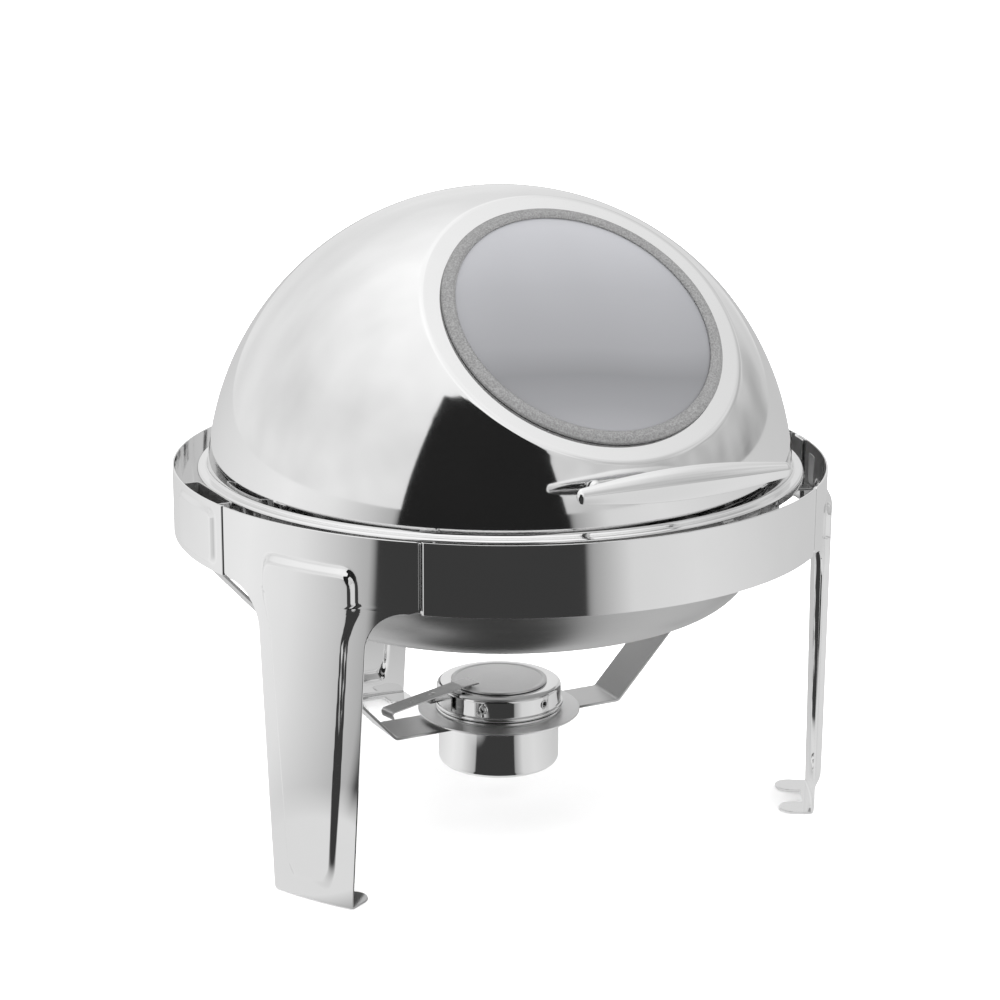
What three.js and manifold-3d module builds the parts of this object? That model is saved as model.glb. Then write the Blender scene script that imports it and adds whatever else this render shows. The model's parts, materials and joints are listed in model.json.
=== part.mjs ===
// Roll top chafer: a round buffet food warmer with a domed lid that rolls back into its stand.
// Millimetres, +Z up, z = 0 is the table. The guest stands at -Y, and the lid handle is on that side.
// A bearing is an angle in degrees about the ring's axis, counted from the front (-Y) towards +X.
import * as THREE from "three";
import { mergeVertices } from "three/addons/utils/BufferGeometryUtils.js";
import Module from "manifold-3d";

const wasm = await Module();
wasm.setup();

// ---- Driving dimensions -------------------------------------------------------------------------
const GAP = 0.3; // air between two pieces that touch
const AXIS_Y = 11; // the ring's axis lies this far behind the middle of the outer box

const ring = { radius: 235, sheet: 1.5, top: 259.5, bottom: 211, step: 3.75 };
const leg = { bearings: { front_left: -60, front_right: 60, rear: 180 }, halfSpan: 19.6 };
const legShape = { topHalf: 42.8, footHalf: 32.3, fillet: 30 };
const legPanel = { top: 235, halfTop: 35, neckTop: 208, neckLow: 190, halfNeck: 28, bottom: 16, halfLow: 16 };
const foot = { reach: 27, notchHalf: 11.5, notchDepth: 19, tip: 10.3 };
const panelRise = 4; // how far the pressed panel of a leg stands out
const tongue = { sweep: 3, step: 1 }; // degrees: a band's tongue behind a leg, and its step
const pivotPanel = { half: 32, low: 215.5, high: 255, rise: 2.5, corner: 8 };

const lid = { pivotZ: 243.5, radius: 210.4, sheet: 1.2, lipRadius: 217.7, lipLow: 251, lipTop: 257.5 };
const win = { elevation: 48.4, plane: 177.2, hole: 97, glass: 94, gasketOuter: 100, gasketInner: 91 };
const handle = { y: -252, z: 298, half: 79, width: 24, depth: 13, tip: 5, postX: 38, postR: 4 };
const pivot = { pinR: 3, headR: 6.5, headDepth: 2.4, earX: 213, earR: 12, bracketX: 220.5, bracketHalf: 30 };
const pivotNut = { radius: 5.6, depth: 4.4, washerR: 7 };
const channelLow = 213;
const screw = { radius: 2, headR: 4.5, headDepth: 2.6, reach: 11 };
const rivet = { radius: 2, headR: 3.4, innerHead: 0.9, outerHead: 1.6, z: 225, spots: [-10, 10] };

const waterPan = { rim: 204, rimTop: 242.7, wallTop: 191, wallLow: 183, bottom: 161, corner: 35, sheet: 1.2 };
const foodPan = { rim: 202, rimTop: 244.4, wallTop: 186, wallLow: 170, bottom: 181, corner: 22, sheet: 1.2 };
const hoop = { radius: 201.5, sheet: 2, top: 241.2, height: 14 };
const arms = { front_left: -34, front_right: 34, side_left: -72, side_right: 72 };
const armSize = { width: 13, top: 251 };
const rests = { bearing: 21, width: 12, top: 247, low: 232, reach: 209 };
const bumper = { radius: 5, at: 215 };

const burner = { cupR: 44.5, low: 26.5, capR: 46, capLow: 71, top: 88.3, mouth: 33, sheet: 1.2 };
const cupBead = { rise: 2.4, from: 0.8, to: 1.8, height: 2.6 };
const vents = { count: 6, radius: 2.2, above: 9.7, first: -72 };
const shelf = { radius: 60, hole: 45.1, low: 66.3, sheet: 1.5 };
const strap = { width: 36, sheet: 2, low: 64, bendX: 92, innerX: 46.5, topZ: 236, slope: 47.5 };
const cover = { radius: 35.5, bearing: -80, rivetRs: [27, 33], pivotR: 61 };
const strip = { width: 13.5, sheet: 1.2, from: 24, flatTo: 38, to: 101, fall: 6.4, lip: 4 };
const tab = { width: 12, beyond: 6, clear: 1.2 }; // the bracket that carries the cover's rivet

// ---- Materials ----------------------------------------------------------------------------------
const metal = (color, roughness) => new THREE.MeshStandardMaterial({ color, roughness, metalness: 1 });
const mirrorSteel = metal(0xdfe1e3, 0.06);
const satinSteel = metal(0xb9bcbe, 0.32);
const plainSteel = metal(0xa9acae, 0.24);
const silicone = new THREE.MeshStandardMaterial({ color: 0x8f9295, roughness: 0.6 });
const glass = new THREE.MeshStandardMaterial({ color: 0xb4bac4, roughness: 0.05 });
glass.transparent = true;
glass.opacity = 0.35;
const rubber = new THREE.MeshStandardMaterial({ color: 0x1c1c1e, roughness: 0.8 });
const nylon = new THREE.MeshStandardMaterial({ color: 0xe4e2dc, roughness: 0.5 });

// ---- Solids -------------------------------------------------------------------------------------
const rad = THREE.MathUtils.degToRad;
const V2 = (x, y) => new THREE.Vector2(x, y);

// A closed three.js geometry as a solid that can be cut and joined.
function solid(geometry) {
  const bare = geometry.clone();
  bare.deleteAttribute("normal");
  bare.deleteAttribute("uv");
  const merged = mergeVertices(bare, 1e-4);
  const index = merged.index.array;
  const faces = [];
  for (let i = 0; i < index.length; i += 3) {
    const [a, b, c] = [index[i], index[i + 1], index[i + 2]];
    if (a !== b && b !== c && c !== a) faces.push(a, b, c);
  }
  const mesh = new wasm.Mesh({
    numProp: 3,
    vertProperties: new Float32Array(merged.attributes.position.array),
    triVerts: new Uint32Array(faces),
  });
  return new wasm.Manifold(mesh);
}

function geometryOf(body) {
  const mesh = body.getMesh();
  const geometry = new THREE.BufferGeometry();
  geometry.setAttribute("position", new THREE.BufferAttribute(mesh.vertProperties, 3));
  geometry.setIndex(new THREE.BufferAttribute(mesh.triVerts, 1));
  geometry.computeVertexNormals();
  return geometry;
}

// A flat outline (x, y) pushed up from z = low by height.
function extruded(points, low, height) {
  const shape = new THREE.Shape(points);
  return new THREE.ExtrudeGeometry(shape, { depth: height, bevelEnabled: false }).translate(0, 0, low);
}

// An outline in x and z, pushed towards -Y from y = near to y = far.
function radialPrism(points, near, far) {
  return extruded(points, 0, near - far).rotateX(Math.PI / 2).translate(0, near, 0);
}

// An outline in y and z, pushed along +X.
function sidePrism(points, low, width) {
  const turn = new THREE.Matrix4().set(0, 0, 1, low, 1, 0, 0, 0, 0, 1, 0, 0, 0, 0, 0, 1);
  return extruded(points, 0, width).applyMatrix4(turn);
}

// A profile of (radius, z) turned about the z axis; it ends on the axis or closes on itself.
function revolved(profile, segments = 36) {
  const points = THREE.ShapeUtils.area(profile) > 0 ? [...profile] : [...profile].reverse();
  if (points.every((p) => p.x > 0.001)) points.push(points[0]);
  return new THREE.LatheGeometry(points, segments).rotateX(Math.PI / 2);
}

// A curved wall between two radii, two heights and two bearings.
function ringWall(inner, outer, low, high, from, to) {
  const steps = Math.max(1, Math.round((to - from) / ring.step));
  const along = (radius, i) => {
    const bearing = rad(from + ((to - from) * i) / steps);
    return V2(radius * Math.sin(bearing), -radius * Math.cos(bearing));
  };
  const points = [];
  for (let i = 0; i <= steps; i++) points.push(along(outer, i));
  for (let i = steps; i >= 0; i--) points.push(along(inner, i));
  return extruded(points, low, high - low);
}

const flatRing = (inner, outer, low, high, segments) =>
  revolved([V2(inner, low), V2(outer, low), V2(outer, high), V2(inner, high)], segments);

const cylinder = (radius, low, high, segments = 16) =>
  revolved([V2(0, low), V2(radius, low), V2(radius, high), V2(0, high)], segments);

// A cylinder along +X.
const shaft = (radius, from, to, segments = 16) =>
  cylinder(radius, from, to, segments).rotateY(Math.PI / 2);

function arc(cx, cy, radius, from, to, steps) {
  const points = [];
  for (let i = 0; i <= steps; i++) {
    const angle = rad(from + ((to - from) * i) / steps);
    points.push(V2(cx + radius * Math.cos(angle), cy + radius * Math.sin(angle)));
  }
  return points;
}

// Mirrors the right half of an outline, given from top to bottom, to make it whole.
const bothHalves = (right) => [...right, ...[...right].reverse().map((p) => V2(-p.x, p.y))];

function roundedBox(half, low, high, corner) {
  return bothHalves([
    ...arc(half - corner, high - corner, corner, 90, 0, 4),
    ...arc(half - corner, low + corner, corner, 0, -90, 4),
  ]);
}

// ---- Scene graph --------------------------------------------------------------------------------
const chafer = new THREE.Group();
chafer.position.y = AXIS_Y;

function add(parent, name, body, material, bearing = 0) {
  const mesh = new THREE.Mesh(geometryOf(body), material);
  mesh.name = name;
  mesh.rotation.z = rad(bearing);
  parent.add(mesh);
}

const stand = new THREE.Group();
const lidGroup = new THREE.Group();
lidGroup.position.z = lid.pivotZ;
const pans = new THREE.Group();
const burnerGroup = new THREE.Group();
chafer.add(stand, lidGroup, pans, burnerGroup);

// ---- Stand: three T-shaped legs and three bands make the ring ----------------------------------
const wallIn = ring.radius - ring.sheet;

function legOutline() {
  const { topHalf, footHalf, fillet } = legShape;
  const beyond = ring.radius * Math.sin(rad(leg.halfSpan)) + 10;
  return bothHalves([
    V2(beyond, ring.top),
    V2(beyond, ring.bottom),
    ...arc(topHalf + fillet, ring.bottom - fillet, fillet, 90, 180, 6),
    V2(footHalf, 0),
  ]);
}

// The pressed panel: a broad head, a neck and a taper down to the foot.
function panelOutline(inset) {
  const { top, halfTop, neckTop, neckLow, halfNeck, bottom, halfLow } = legPanel;
  const corner = 8 - inset;
  return bothHalves([
    ...arc(halfTop - inset - corner, top - inset - corner, corner, 90, 0, 3),
    V2(halfTop - inset, neckTop),
    V2(halfNeck - inset, neckLow),
    ...arc(halfLow - inset - corner, bottom + inset + corner, corner, 0, -90, 3),
  ]);
}

function footPlate() {
  const inner = (reach) => -ring.radius + reach;
  const prongMiddle = (foot.notchHalf + legShape.footHalf) / 2;
  return bothHalves([
    V2(foot.notchHalf, inner(foot.reach - foot.notchDepth)),
    ...arc(prongMiddle, inner(foot.reach - foot.tip), foot.tip, 180, 0, 6),
    V2(legShape.footHalf, -ring.radius - 5),
  ]);
}

function legBody() {
  const reach = leg.halfSpan - 0.05;
  const wall = (inner, outer, top) => solid(ringWall(inner, outer, 0, top, -reach, reach));
  const prism = (outline) => solid(radialPrism(outline, -ring.radius + 60, -ring.radius - 20));
  const plate = wall(wallIn, ring.radius, ring.top).intersect(prism(legOutline()));
  const panel = wall(wallIn, ring.radius + panelRise, ring.top).intersect(prism(panelOutline(0)));
  const hollow = wall(wallIn - 10, wallIn + panelRise, ring.top).intersect(prism(panelOutline(ring.sheet)));
  const toes = solid(extruded(footPlate(), 0, ring.sheet)).intersect(
    solid(cylinder(ring.radius, -1, 10, 96)),
  );
  return plate.add(panel).subtract(hollow).add(toes);
}

const legSolid = legBody();
for (const [side, bearing] of Object.entries(leg.bearings)) {
  add(stand, `leg_${side}`, legSolid, mirrorSteel, bearing);
}

// A band has a stepped tongue at each end that lies behind the arm of the leg beside it.
function bandBody(from, to) {
  const tongueOut = wallIn - GAP;
  const tongueIn = tongueOut - ring.sheet;
  const [low, high] = [ring.bottom + 1, ring.top - 1];
  const behind = (start, end) => solid(ringWall(tongueIn, tongueOut, low, high, start, end));
  const joggle = (start, end) => solid(ringWall(tongueIn, ring.radius - 0.5, low, high, start, end));
  return solid(ringWall(wallIn, ring.radius, ring.bottom, ring.top, from, to))
    .add(behind(from - tongue.sweep, from + tongue.step))
    .add(joggle(from, from + tongue.step))
    .add(behind(to - tongue.step, to + tongue.sweep))
    .add(joggle(to - tongue.step, to));
}

// A side band also carries a raised panel over the pivot, hollow on its inner face.
function sideBandBody() {
  const { half, low, high, rise, corner } = pivotPanel;
  const wall = (inner, outer) => solid(ringWall(inner, outer, ring.bottom, ring.top, -15, 15));
  const prism = (inset) => {
    const outline = roundedBox(half - inset, low + inset, high - inset, corner - inset);
    return solid(radialPrism(outline, -ring.radius + 30, -ring.radius - 20));
  };
  const panel = wall(wallIn, ring.radius + rise).intersect(prism(0)).rotate([0, 0, 90]);
  const hollow = wall(wallIn - 10, wallIn + rise).intersect(prism(ring.sheet)).rotate([0, 0, 90]);
  const from = leg.bearings.front_right + leg.halfSpan;
  const to = leg.bearings.rear - leg.halfSpan;
  return bandBody(from, to).add(panel).subtract(hollow);
}

const frontHalf = leg.bearings.front_right - leg.halfSpan;
add(stand, "band_front", bandBody(-frontHalf, frontHalf), mirrorSteel);
const sideBand = sideBandBody();
add(stand, "band_right", sideBand, mirrorSteel);
add(stand, "band_left", sideBand.mirror([1, 0, 0]), mirrorSteel);

// Adds a piece on the right and its mirror image on the left.
function addPair(parent, name, body, material) {
  add(parent, `${name}_right`, body, material);
  add(parent, `${name}_left`, body.mirror([1, 0, 0]), material);
}

// ---- Pivots: a channel behind each side band carries the lid's pin ------------------------------
function box(x0, x1, y0, y1, z0, z1) {
  const block = new THREE.BoxGeometry(x1 - x0, y1 - y0, z1 - z0);
  return solid(block.translate((x0 + x1) / 2, (y0 + y1) / 2, (z0 + z1) / 2));
}

const pinHole = (from, to) => solid(shaft(pivot.pinR + GAP, from, to).translate(0, 0, lid.pivotZ));

function channelBody() {
  const { bracketX: x, bracketHalf: half } = pivot;
  const plate = ring.sheet;
  let body = box(x, ring.radius, -half, half, channelLow, ring.top - 1)
    .subtract(box(x + plate, ring.radius + 1, plate - half, half - plate, channelLow - 1, ring.top))
    .intersect(solid(cylinder(wallIn - GAP, 200, 270, 96)))
    .subtract(pinHole(x - 5, x + 5));
  for (const y of rivet.spots) {
    body = body.subtract(solid(shaft(rivet.radius + GAP, x - 2, x + 5, 12).translate(0, y, rivet.z)));
  }
  return body;
}

addPair(stand, "pivot_channel", channelBody(), satinSteel);

const washerIn = pivot.earX + ring.sheet + GAP;
const pinHead = pivot.earX - GAP;
const nutX = pivot.bracketX + ring.sheet + GAP;
const pin = solid(shaft(pivot.headR, pinHead - pivot.headDepth, pinHead))
  .add(solid(shaft(pivot.pinR, pinHead - 1, nutX + pivotNut.depth + 1.1)))
  .translate([0, 0, lid.pivotZ]);
addPair(stand, "pivot_pin", pin, plainSteel);
const washer = solid(shaft(pivotNut.washerR, washerIn, pivot.bracketX - GAP).translate(0, 0, lid.pivotZ));
addPair(stand, "pivot_washer", washer.subtract(pinHole(washerIn - 5, washerIn + 15)), nylon);
const nut = solid(shaft(pivotNut.radius, nutX, nutX + pivotNut.depth, 6).translate(0, 0, lid.pivotZ));
addPair(stand, "pivot_nut", nut.subtract(pinHole(nutX - 5, nutX + 15)), plainSteel);

// ---- Pan hoop and lid rests ----------------------------------------------------------------------
// A strip bent along a path of (along, z) points, as an outline of the given thickness.
function bentStrip(path, thickness) {
  const sides = [[], []];
  path.forEach((point, i) => {
    const before = i > 0 ? point.clone().sub(path[i - 1]).normalize() : null;
    const after = i < path.length - 1 ? path[i + 1].clone().sub(point).normalize() : null;
    const mean = (before ?? after).clone().add(after ?? before).normalize();
    const normal = V2(-mean.y, mean.x);
    const reach = thickness / 2 / Math.abs(normal.dot(V2(-(before ?? after).y, (before ?? after).x)));
    sides[0].push(point.clone().addScaledVector(normal, reach));
    sides[1].unshift(point.clone().addScaledVector(normal, -reach));
  });
  return [...sides[0], ...sides[1]];
}

// The strip set up in the plane y-z at bearing 0, with its path's first value as the radius.
function radialStrip(path, thickness, width) {
  const outline = bentStrip(path, thickness).map((p) => V2(-p.x, p.y));
  return solid(sidePrism(outline, -width / 2, width));
}

const hoopLow = hoop.top - hoop.height;
const hoopIn = hoop.radius - hoop.sheet;
add(pans, "pan_hoop", solid(flatRing(hoopIn, hoop.radius, hoopLow, hoop.top, 48)), satinSteel);

const tabR = wallIn - GAP - ring.sheet / 2; // middle of a tab that lies against the inside of the ring
const armIn = hoop.radius + GAP + ring.sheet / 2;
const armLow = hoopLow + 1;
const armPath = [V2(armIn, hoop.top - 1), V2(armIn, armLow), V2(tabR, armLow), V2(tabR, armSize.top)];
const arm = radialStrip(armPath, ring.sheet, armSize.width);
for (const [side, bearing] of Object.entries(arms)) {
  add(stand, `hoop_arm_${side}`, arm, satinSteel, bearing);
}

const restPath = [V2(tabR, rests.low), V2(tabR, rests.top), V2(rests.reach, rests.top)];
const rest = radialStrip(restPath, ring.sheet, rests.width);
const bumperLow = rests.top + ring.sheet / 2 + GAP;
const bumperBody = solid(cylinder(bumper.radius, bumperLow, lid.lipLow - GAP, 20));
for (const [side, bearing] of [["left", -rests.bearing], ["right", rests.bearing]]) {
  add(stand, `lid_rest_${side}`, rest, satinSteel, bearing);
  add(stand, `lid_bumper_${side}`, bumperBody.translate([0, -bumper.at, 0]), rubber, bearing);
}

// ---- Pans ---------------------------------------------------------------------------------------
// A round dish with a flat rim, as a closed profile of one sheet.
function dish({ rim, rimTop, wallTop, wallLow, bottom, corner, sheet }) {
  const shell = (inset) => [
    V2(0, bottom + inset),
    ...arc(wallLow - corner, bottom + corner, corner - inset, -90, 0, 4),
  ];
  const outer = [...shell(0), V2(wallTop, rimTop - sheet), V2(rim, rimTop - sheet)];
  const inner = [...shell(sheet), V2(wallTop - sheet, rimTop)].reverse();
  return solid(revolved([...outer, V2(rim, rimTop), ...inner]));
}

add(pans, "water_pan", dish(waterPan), satinSteel);
add(pans, "food_pan", dish(foodPan), satinSteel);

// ---- Lid: heights here are above the pivot's axis ------------------------------------------------
const lipLow = lid.lipLow - lid.pivotZ;
const lipTop = lid.lipTop - lid.pivotZ;
const inside = lid.radius - lid.sheet;

// Turns +Z to the window's normal, which leans towards the guest.
const toWindow = (body) => body.rotate([90 - win.elevation, 0, 0]);
const beyond = (plane) => toWindow(box(-200, 200, -200, 200, plane, plane + 80));

// A dome with the lip's radius below and a small fillet where the sphere starts.
function domeSolid(radius, lipRadius, low, top) {
  const fillet = 4;
  const start = Math.asin((top + fillet) / radius);
  const meet = V2(radius * Math.cos(start), radius * Math.sin(start));
  const sphere = arc(0, 0, radius, THREE.MathUtils.radToDeg(start), 90, 11);
  const profile = [V2(0, low), V2(lipRadius, low), V2(lipRadius, top), V2(meet.x + 2, top), ...sphere];
  profile[profile.length - 1].x = 0;
  return solid(revolved(profile, 44));
}

function domeBody() {
  const outer = domeSolid(lid.radius, lid.lipRadius, lipLow, lipTop).subtract(beyond(win.plane));
  const inner = domeSolid(inside, lid.lipRadius - ring.sheet, lipLow - 1, lipTop - lid.sheet)
    .subtract(beyond(win.plane - lid.sheet));
  const opening = toWindow(solid(cylinder(win.hole, win.plane - 20, win.plane + 20, 36)));
  let body = outer.subtract(inner).subtract(opening);
  for (const side of [-1, 1]) body = body.subtract(screwHole(side, 190, 215));
  return body;
}

// Sets a body made along +Z at a handle screw, which points from the pivot's axis to the handle.
const handleTilt = THREE.MathUtils.radToDeg(Math.atan2(handle.z - lid.pivotZ, -handle.y));
const handleRho = Math.hypot(handle.y, handle.z - lid.pivotZ);
const atPost = (side, body) => body.rotate([90 - handleTilt, 0, 0]).translate([side * handle.postX, 0, 0]);
const screwHole = (side, from, to) => atPost(side, solid(cylinder(screw.radius + GAP, from, to, 12)));

add(lidGroup, "lid_dome", domeBody(), mirrorSteel);

// The gasket's section: a groove on its inside for the glass and one on its outside for the dome.
function gasketBody() {
  const { gasketInner: inner, gasketOuter: outer } = win;
  const [glassEdge, sheetEdge] = [win.glass + GAP, win.hole - GAP];
  const section = [
    [inner, 4.6], [inner, 2.8], [glassEdge, 2.8], [glassEdge, -1.5], [inner, -1.5], [inner, -3.8],
    [outer - 0.5, -3.8], [outer - 0.5, -1.5], [sheetEdge, -1.5], [sheetEdge, GAP],
    [outer, GAP], [outer, 3], [outer - 2.5, 4.9],
  ];
  return toWindow(solid(revolved(section.map(([r, z]) => V2(r, win.plane + z)))));
}

add(lidGroup, "window_gasket", gasketBody(), silicone);
const pane = solid(cylinder(win.glass, win.plane - 1.2, win.plane + 2.5, 36));
add(lidGroup, "window_glass", toWindow(pane), glass);

// A tab under the lip that turns on the pivot's pin.
const earOutline = [
  V2(-pivot.earR, lipTop - lid.sheet - 0.4),
  ...arc(0, 0, pivot.earR, 180, 360, 10),
  V2(pivot.earR, lipTop - lid.sheet - 0.4),
];
const ear = solid(sidePrism(earOutline, pivot.earX, ring.sheet))
  .subtract(solid(shaft(pivot.pinR + GAP, pivot.earX - 5, pivot.earX + 5)));
addPair(lidGroup, "lid_ear", ear, satinSteel);

// A spindle with blunt ends, flattened to an oval section and leaning back with the dome.
function handleBody() {
  const swell = (t) => handle.tip + (handle.width / 2 - handle.tip) * Math.cos((t * Math.PI) / 2) ** 0.9;
  const shoulder = handle.half - handle.tip;
  const profile = [...arc(0, -shoulder, handle.tip, -90, -15, 3)];
  for (let i = -5; i <= 5; i++) profile.push(V2(swell(Math.abs(i) / 5.5), (i / 5) * shoulder));
  profile.push(...arc(0, shoulder, handle.tip, 15, 90, 3));
  profile[0].x = 0;
  profile[profile.length - 1].x = 0;
  return solid(
    revolved(profile, 16).rotateY(Math.PI / 2).scale(1, handle.depth / handle.width, 1)
      .rotateX(-rad(handleTilt)).translate(0, handle.y, handle.z - lid.pivotZ),
  );
}

add(lidGroup, "lid_handle", handleBody(), mirrorSteel);

const postTop = handleRho - handle.depth / 2 + 0.6;
const postLow = Math.sqrt(lid.radius ** 2 - (handle.postX - handle.postR) ** 2) + GAP;
const headTop = Math.sqrt(inside ** 2 - (handle.postX + screw.headR) ** 2) - 4 * GAP;
for (const [name, side] of [["left", -1], ["right", 1]]) {
  const post = atPost(side, solid(cylinder(handle.postR, postLow, postTop)));
  const bore = screwHole(side, 190, postLow + screw.reach + 1);
  add(lidGroup, `handle_post_${name}`, post.subtract(bore), mirrorSteel);
  const screwBody = solid(cylinder(screw.headR, headTop - screw.headDepth, headTop)).add(
    solid(cylinder(screw.radius, headTop - 1, postLow + screw.reach, 12)),
  );
  add(lidGroup, `handle_screw_${name}`, atPost(side, screwBody), plainSteel);
}

// ---- Burner: a cup that hangs in a shelf between two straps --------------------------------------
const shelfTop = shelf.low + shelf.sheet;
const shelfRing = flatRing(shelf.hole, shelf.radius, shelf.low, shelfTop, 36);
add(burnerGroup, "burner_shelf", solid(shelfRing), satinSteel);

function strapBody() {
  const hung = pivot.bracketX + ring.sheet + GAP + strap.sheet / 2;
  const middle = strap.low + strap.sheet / 2;
  const rise = Math.tan(rad(strap.slope));
  const path = [
    V2(strap.innerX, middle),
    V2(strap.bendX, middle),
    V2(hung, middle + (hung - strap.bendX) * rise),
    V2(hung, strap.topZ),
  ];
  const outline = bentStrip(path, strap.sheet);
  let body = solid(radialPrism(outline, strap.width / 2, -strap.width / 2));
  for (const y of rivet.spots) {
    const hole = shaft(rivet.radius + GAP, hung - 5, hung + 5, 12).translate(0, y, rivet.z);
    body = body.subtract(solid(hole));
  }
  return body;
}

addPair(burnerGroup, "strap", strapBody(), satinSteel);

const rivetIn = pivot.bracketX - GAP;
const rivetOut = pivot.bracketX + ring.sheet + strap.sheet + 2 * GAP;
rivet.spots.forEach((y, i) => {
  const body = solid(shaft(rivet.headR, rivetIn - rivet.innerHead, rivetIn, 12))
    .add(solid(shaft(rivet.radius, rivetIn - 0.5, rivetOut + 0.5, 12)))
    .add(solid(shaft(rivet.headR, rivetOut, rivetOut + rivet.outerHead, 12)))
    .translate([0, y, rivet.z]);
  addPair(burnerGroup, `strap_rivet_${["front", "rear"][i]}`, body, plainSteel);
});

function cupBody() {
  const { cupR, low, capLow, sheet } = burner;
  const { rise, from, to, height } = cupBead;
  const bead = (z) => [V2(cupR, z), V2(cupR + rise, z + from), V2(cupR + rise, z + to), V2(cupR, z + height)];
  const lip = capLow + 14;
  const outer = [
    V2(0, low), ...arc(cupR - 5, low + 5, 5, -90, 0, 3), ...bead(shelfTop + GAP), V2(cupR, lip),
  ];
  const innerR = cupR - sheet;
  const inner = [V2(0, low + sheet), ...arc(innerR - 4, low + sheet + 4, 4, -90, 0, 2), V2(innerR, lip)];
  return solid(revolved([...outer, ...inner.reverse()]));
}

function capBody() {
  const { capR, capLow, top, mouth, sheet } = burner;
  const innerR = capR - sheet;
  const profile = [
    V2(innerR, capLow), V2(capR, capLow), V2(capR + 1.6, capLow + 0.9), V2(capR + 1.6, capLow + 2.4),
    V2(capR, capLow + 3.4), ...arc(capR - 3, top - 3, 3, 0, 90, 2),
    V2(mouth, top), V2(mouth, top - sheet), V2(innerR, top - sheet),
  ];
  let body = solid(revolved(profile));
  for (let i = 0; i < vents.count; i++) {
    const vent = solid(shaft(vents.radius, innerR - 5, capR + 5, 8).translate(0, 0, capLow + vents.above));
    body = body.subtract(vent.rotate([0, 0, (i * 360) / vents.count + vents.first]));
  }
  return body;
}

const burnerLift = new THREE.Group();
burnerGroup.add(burnerLift);
add(burnerLift, "burner_cup", cupBody(), mirrorSteel);
add(burnerLift, "burner_cap", capBody(), mirrorSteel);

// The cover turns aside on a rivet that stands on a small bracket at the cap's side.
const coverLow = burner.top + GAP;
const half = strip.sheet / 2;
const stripMiddle = coverLow + ring.sheet + GAP + half;
const stripSlope = strip.fall / (strip.to - strip.flatTo);
const stripAt = (r) => stripMiddle - Math.max(0, r - strip.flatTo) * stripSlope;
const bracketTop = stripAt(cover.pivotR) - half - GAP - tab.clear;
const smallHole = (radius, r) => solid(cylinder(radius, 70, 100, 12).translate(0, -r, 0));
const coverRivet = { radius: 1.2, headR: 2.4, depth: 0.9 };
const turnRivet = { radius: 1.8, headR: 3, depth: 1.2 };

let disc = solid(cylinder(cover.radius, coverLow, coverLow + ring.sheet, 36));
const stripPath = [
  V2(strip.from, stripMiddle), V2(strip.flatTo, stripMiddle), V2(strip.to, stripAt(strip.to)),
  V2(strip.to - 1.5, stripAt(strip.to) - strip.lip),
];
let stripBody = radialStrip(stripPath, strip.sheet, strip.width)
  .subtract(smallHole(turnRivet.radius + GAP, cover.pivotR));
for (const r of cover.rivetRs) {
  disc = disc.subtract(smallHole(coverRivet.radius + GAP, r));
  stripBody = stripBody.subtract(smallHole(coverRivet.radius + GAP, r));
}
add(burnerLift, "burner_cover", disc, satinSteel, cover.bearing);
add(burnerLift, "cover_strip", stripBody, plainSteel, cover.bearing);
cover.rivetRs.forEach((r, i) => {
  const head = stripMiddle + half + GAP;
  const shank = solid(cylinder(coverRivet.radius, coverLow + 0.1, head + 0.5, 12));
  const body = shank.add(solid(cylinder(coverRivet.headR, head, head + coverRivet.depth, 12)));
  const name = `cover_rivet_${["inner", "outer"][i]}`;
  add(burnerLift, name, body.translate([0, -r, 0]), plainSteel, cover.bearing);
});

const capSide = burner.capR + GAP + half;
const bracketPath = [
  V2(capSide, burner.capLow + 5),
  V2(capSide, bracketTop - half),
  V2(cover.pivotR + tab.beyond, bracketTop - half),
];
const bracket = radialStrip(bracketPath, strip.sheet, tab.width)
  .subtract(smallHole(turnRivet.radius + GAP, cover.pivotR));
add(burnerLift, "cover_bracket", bracket, plainSteel, cover.bearing);
const turnTop = stripAt(cover.pivotR) + half + GAP + 0.5;
const turnLow = bracketTop - strip.sheet - GAP;
const turnBody = solid(cylinder(turnRivet.radius, turnLow - 0.5, turnTop + 0.5, 12))
  .add(solid(cylinder(turnRivet.headR, turnTop, turnTop + turnRivet.depth)))
  .add(solid(cylinder(turnRivet.headR, turnLow - turnRivet.depth, turnLow)));
add(burnerLift, "cover_pivot_rivet", turnBody.translate([0, -cover.pivotR, 0]), plainSteel, cover.bearing);

export default chafer;
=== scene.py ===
import json
import math

import bpy
import numpy as np
from mathutils import Matrix, Vector


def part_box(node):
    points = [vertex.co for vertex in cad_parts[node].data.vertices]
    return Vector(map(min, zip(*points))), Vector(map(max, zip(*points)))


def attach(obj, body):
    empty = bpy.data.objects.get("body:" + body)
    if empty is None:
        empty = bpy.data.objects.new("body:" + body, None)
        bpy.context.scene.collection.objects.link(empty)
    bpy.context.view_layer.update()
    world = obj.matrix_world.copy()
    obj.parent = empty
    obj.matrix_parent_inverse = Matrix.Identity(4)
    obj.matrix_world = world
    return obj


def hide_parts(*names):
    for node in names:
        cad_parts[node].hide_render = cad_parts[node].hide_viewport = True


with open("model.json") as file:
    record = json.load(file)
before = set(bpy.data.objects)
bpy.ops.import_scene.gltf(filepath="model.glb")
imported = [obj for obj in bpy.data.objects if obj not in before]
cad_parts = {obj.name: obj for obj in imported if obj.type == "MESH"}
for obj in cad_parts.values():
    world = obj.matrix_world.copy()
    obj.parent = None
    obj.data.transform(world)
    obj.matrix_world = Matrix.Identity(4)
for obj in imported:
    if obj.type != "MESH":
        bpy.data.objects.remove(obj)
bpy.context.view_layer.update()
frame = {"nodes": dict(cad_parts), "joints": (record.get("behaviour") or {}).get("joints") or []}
print("frame loaded:", len(frame["nodes"]), "parts")

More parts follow.
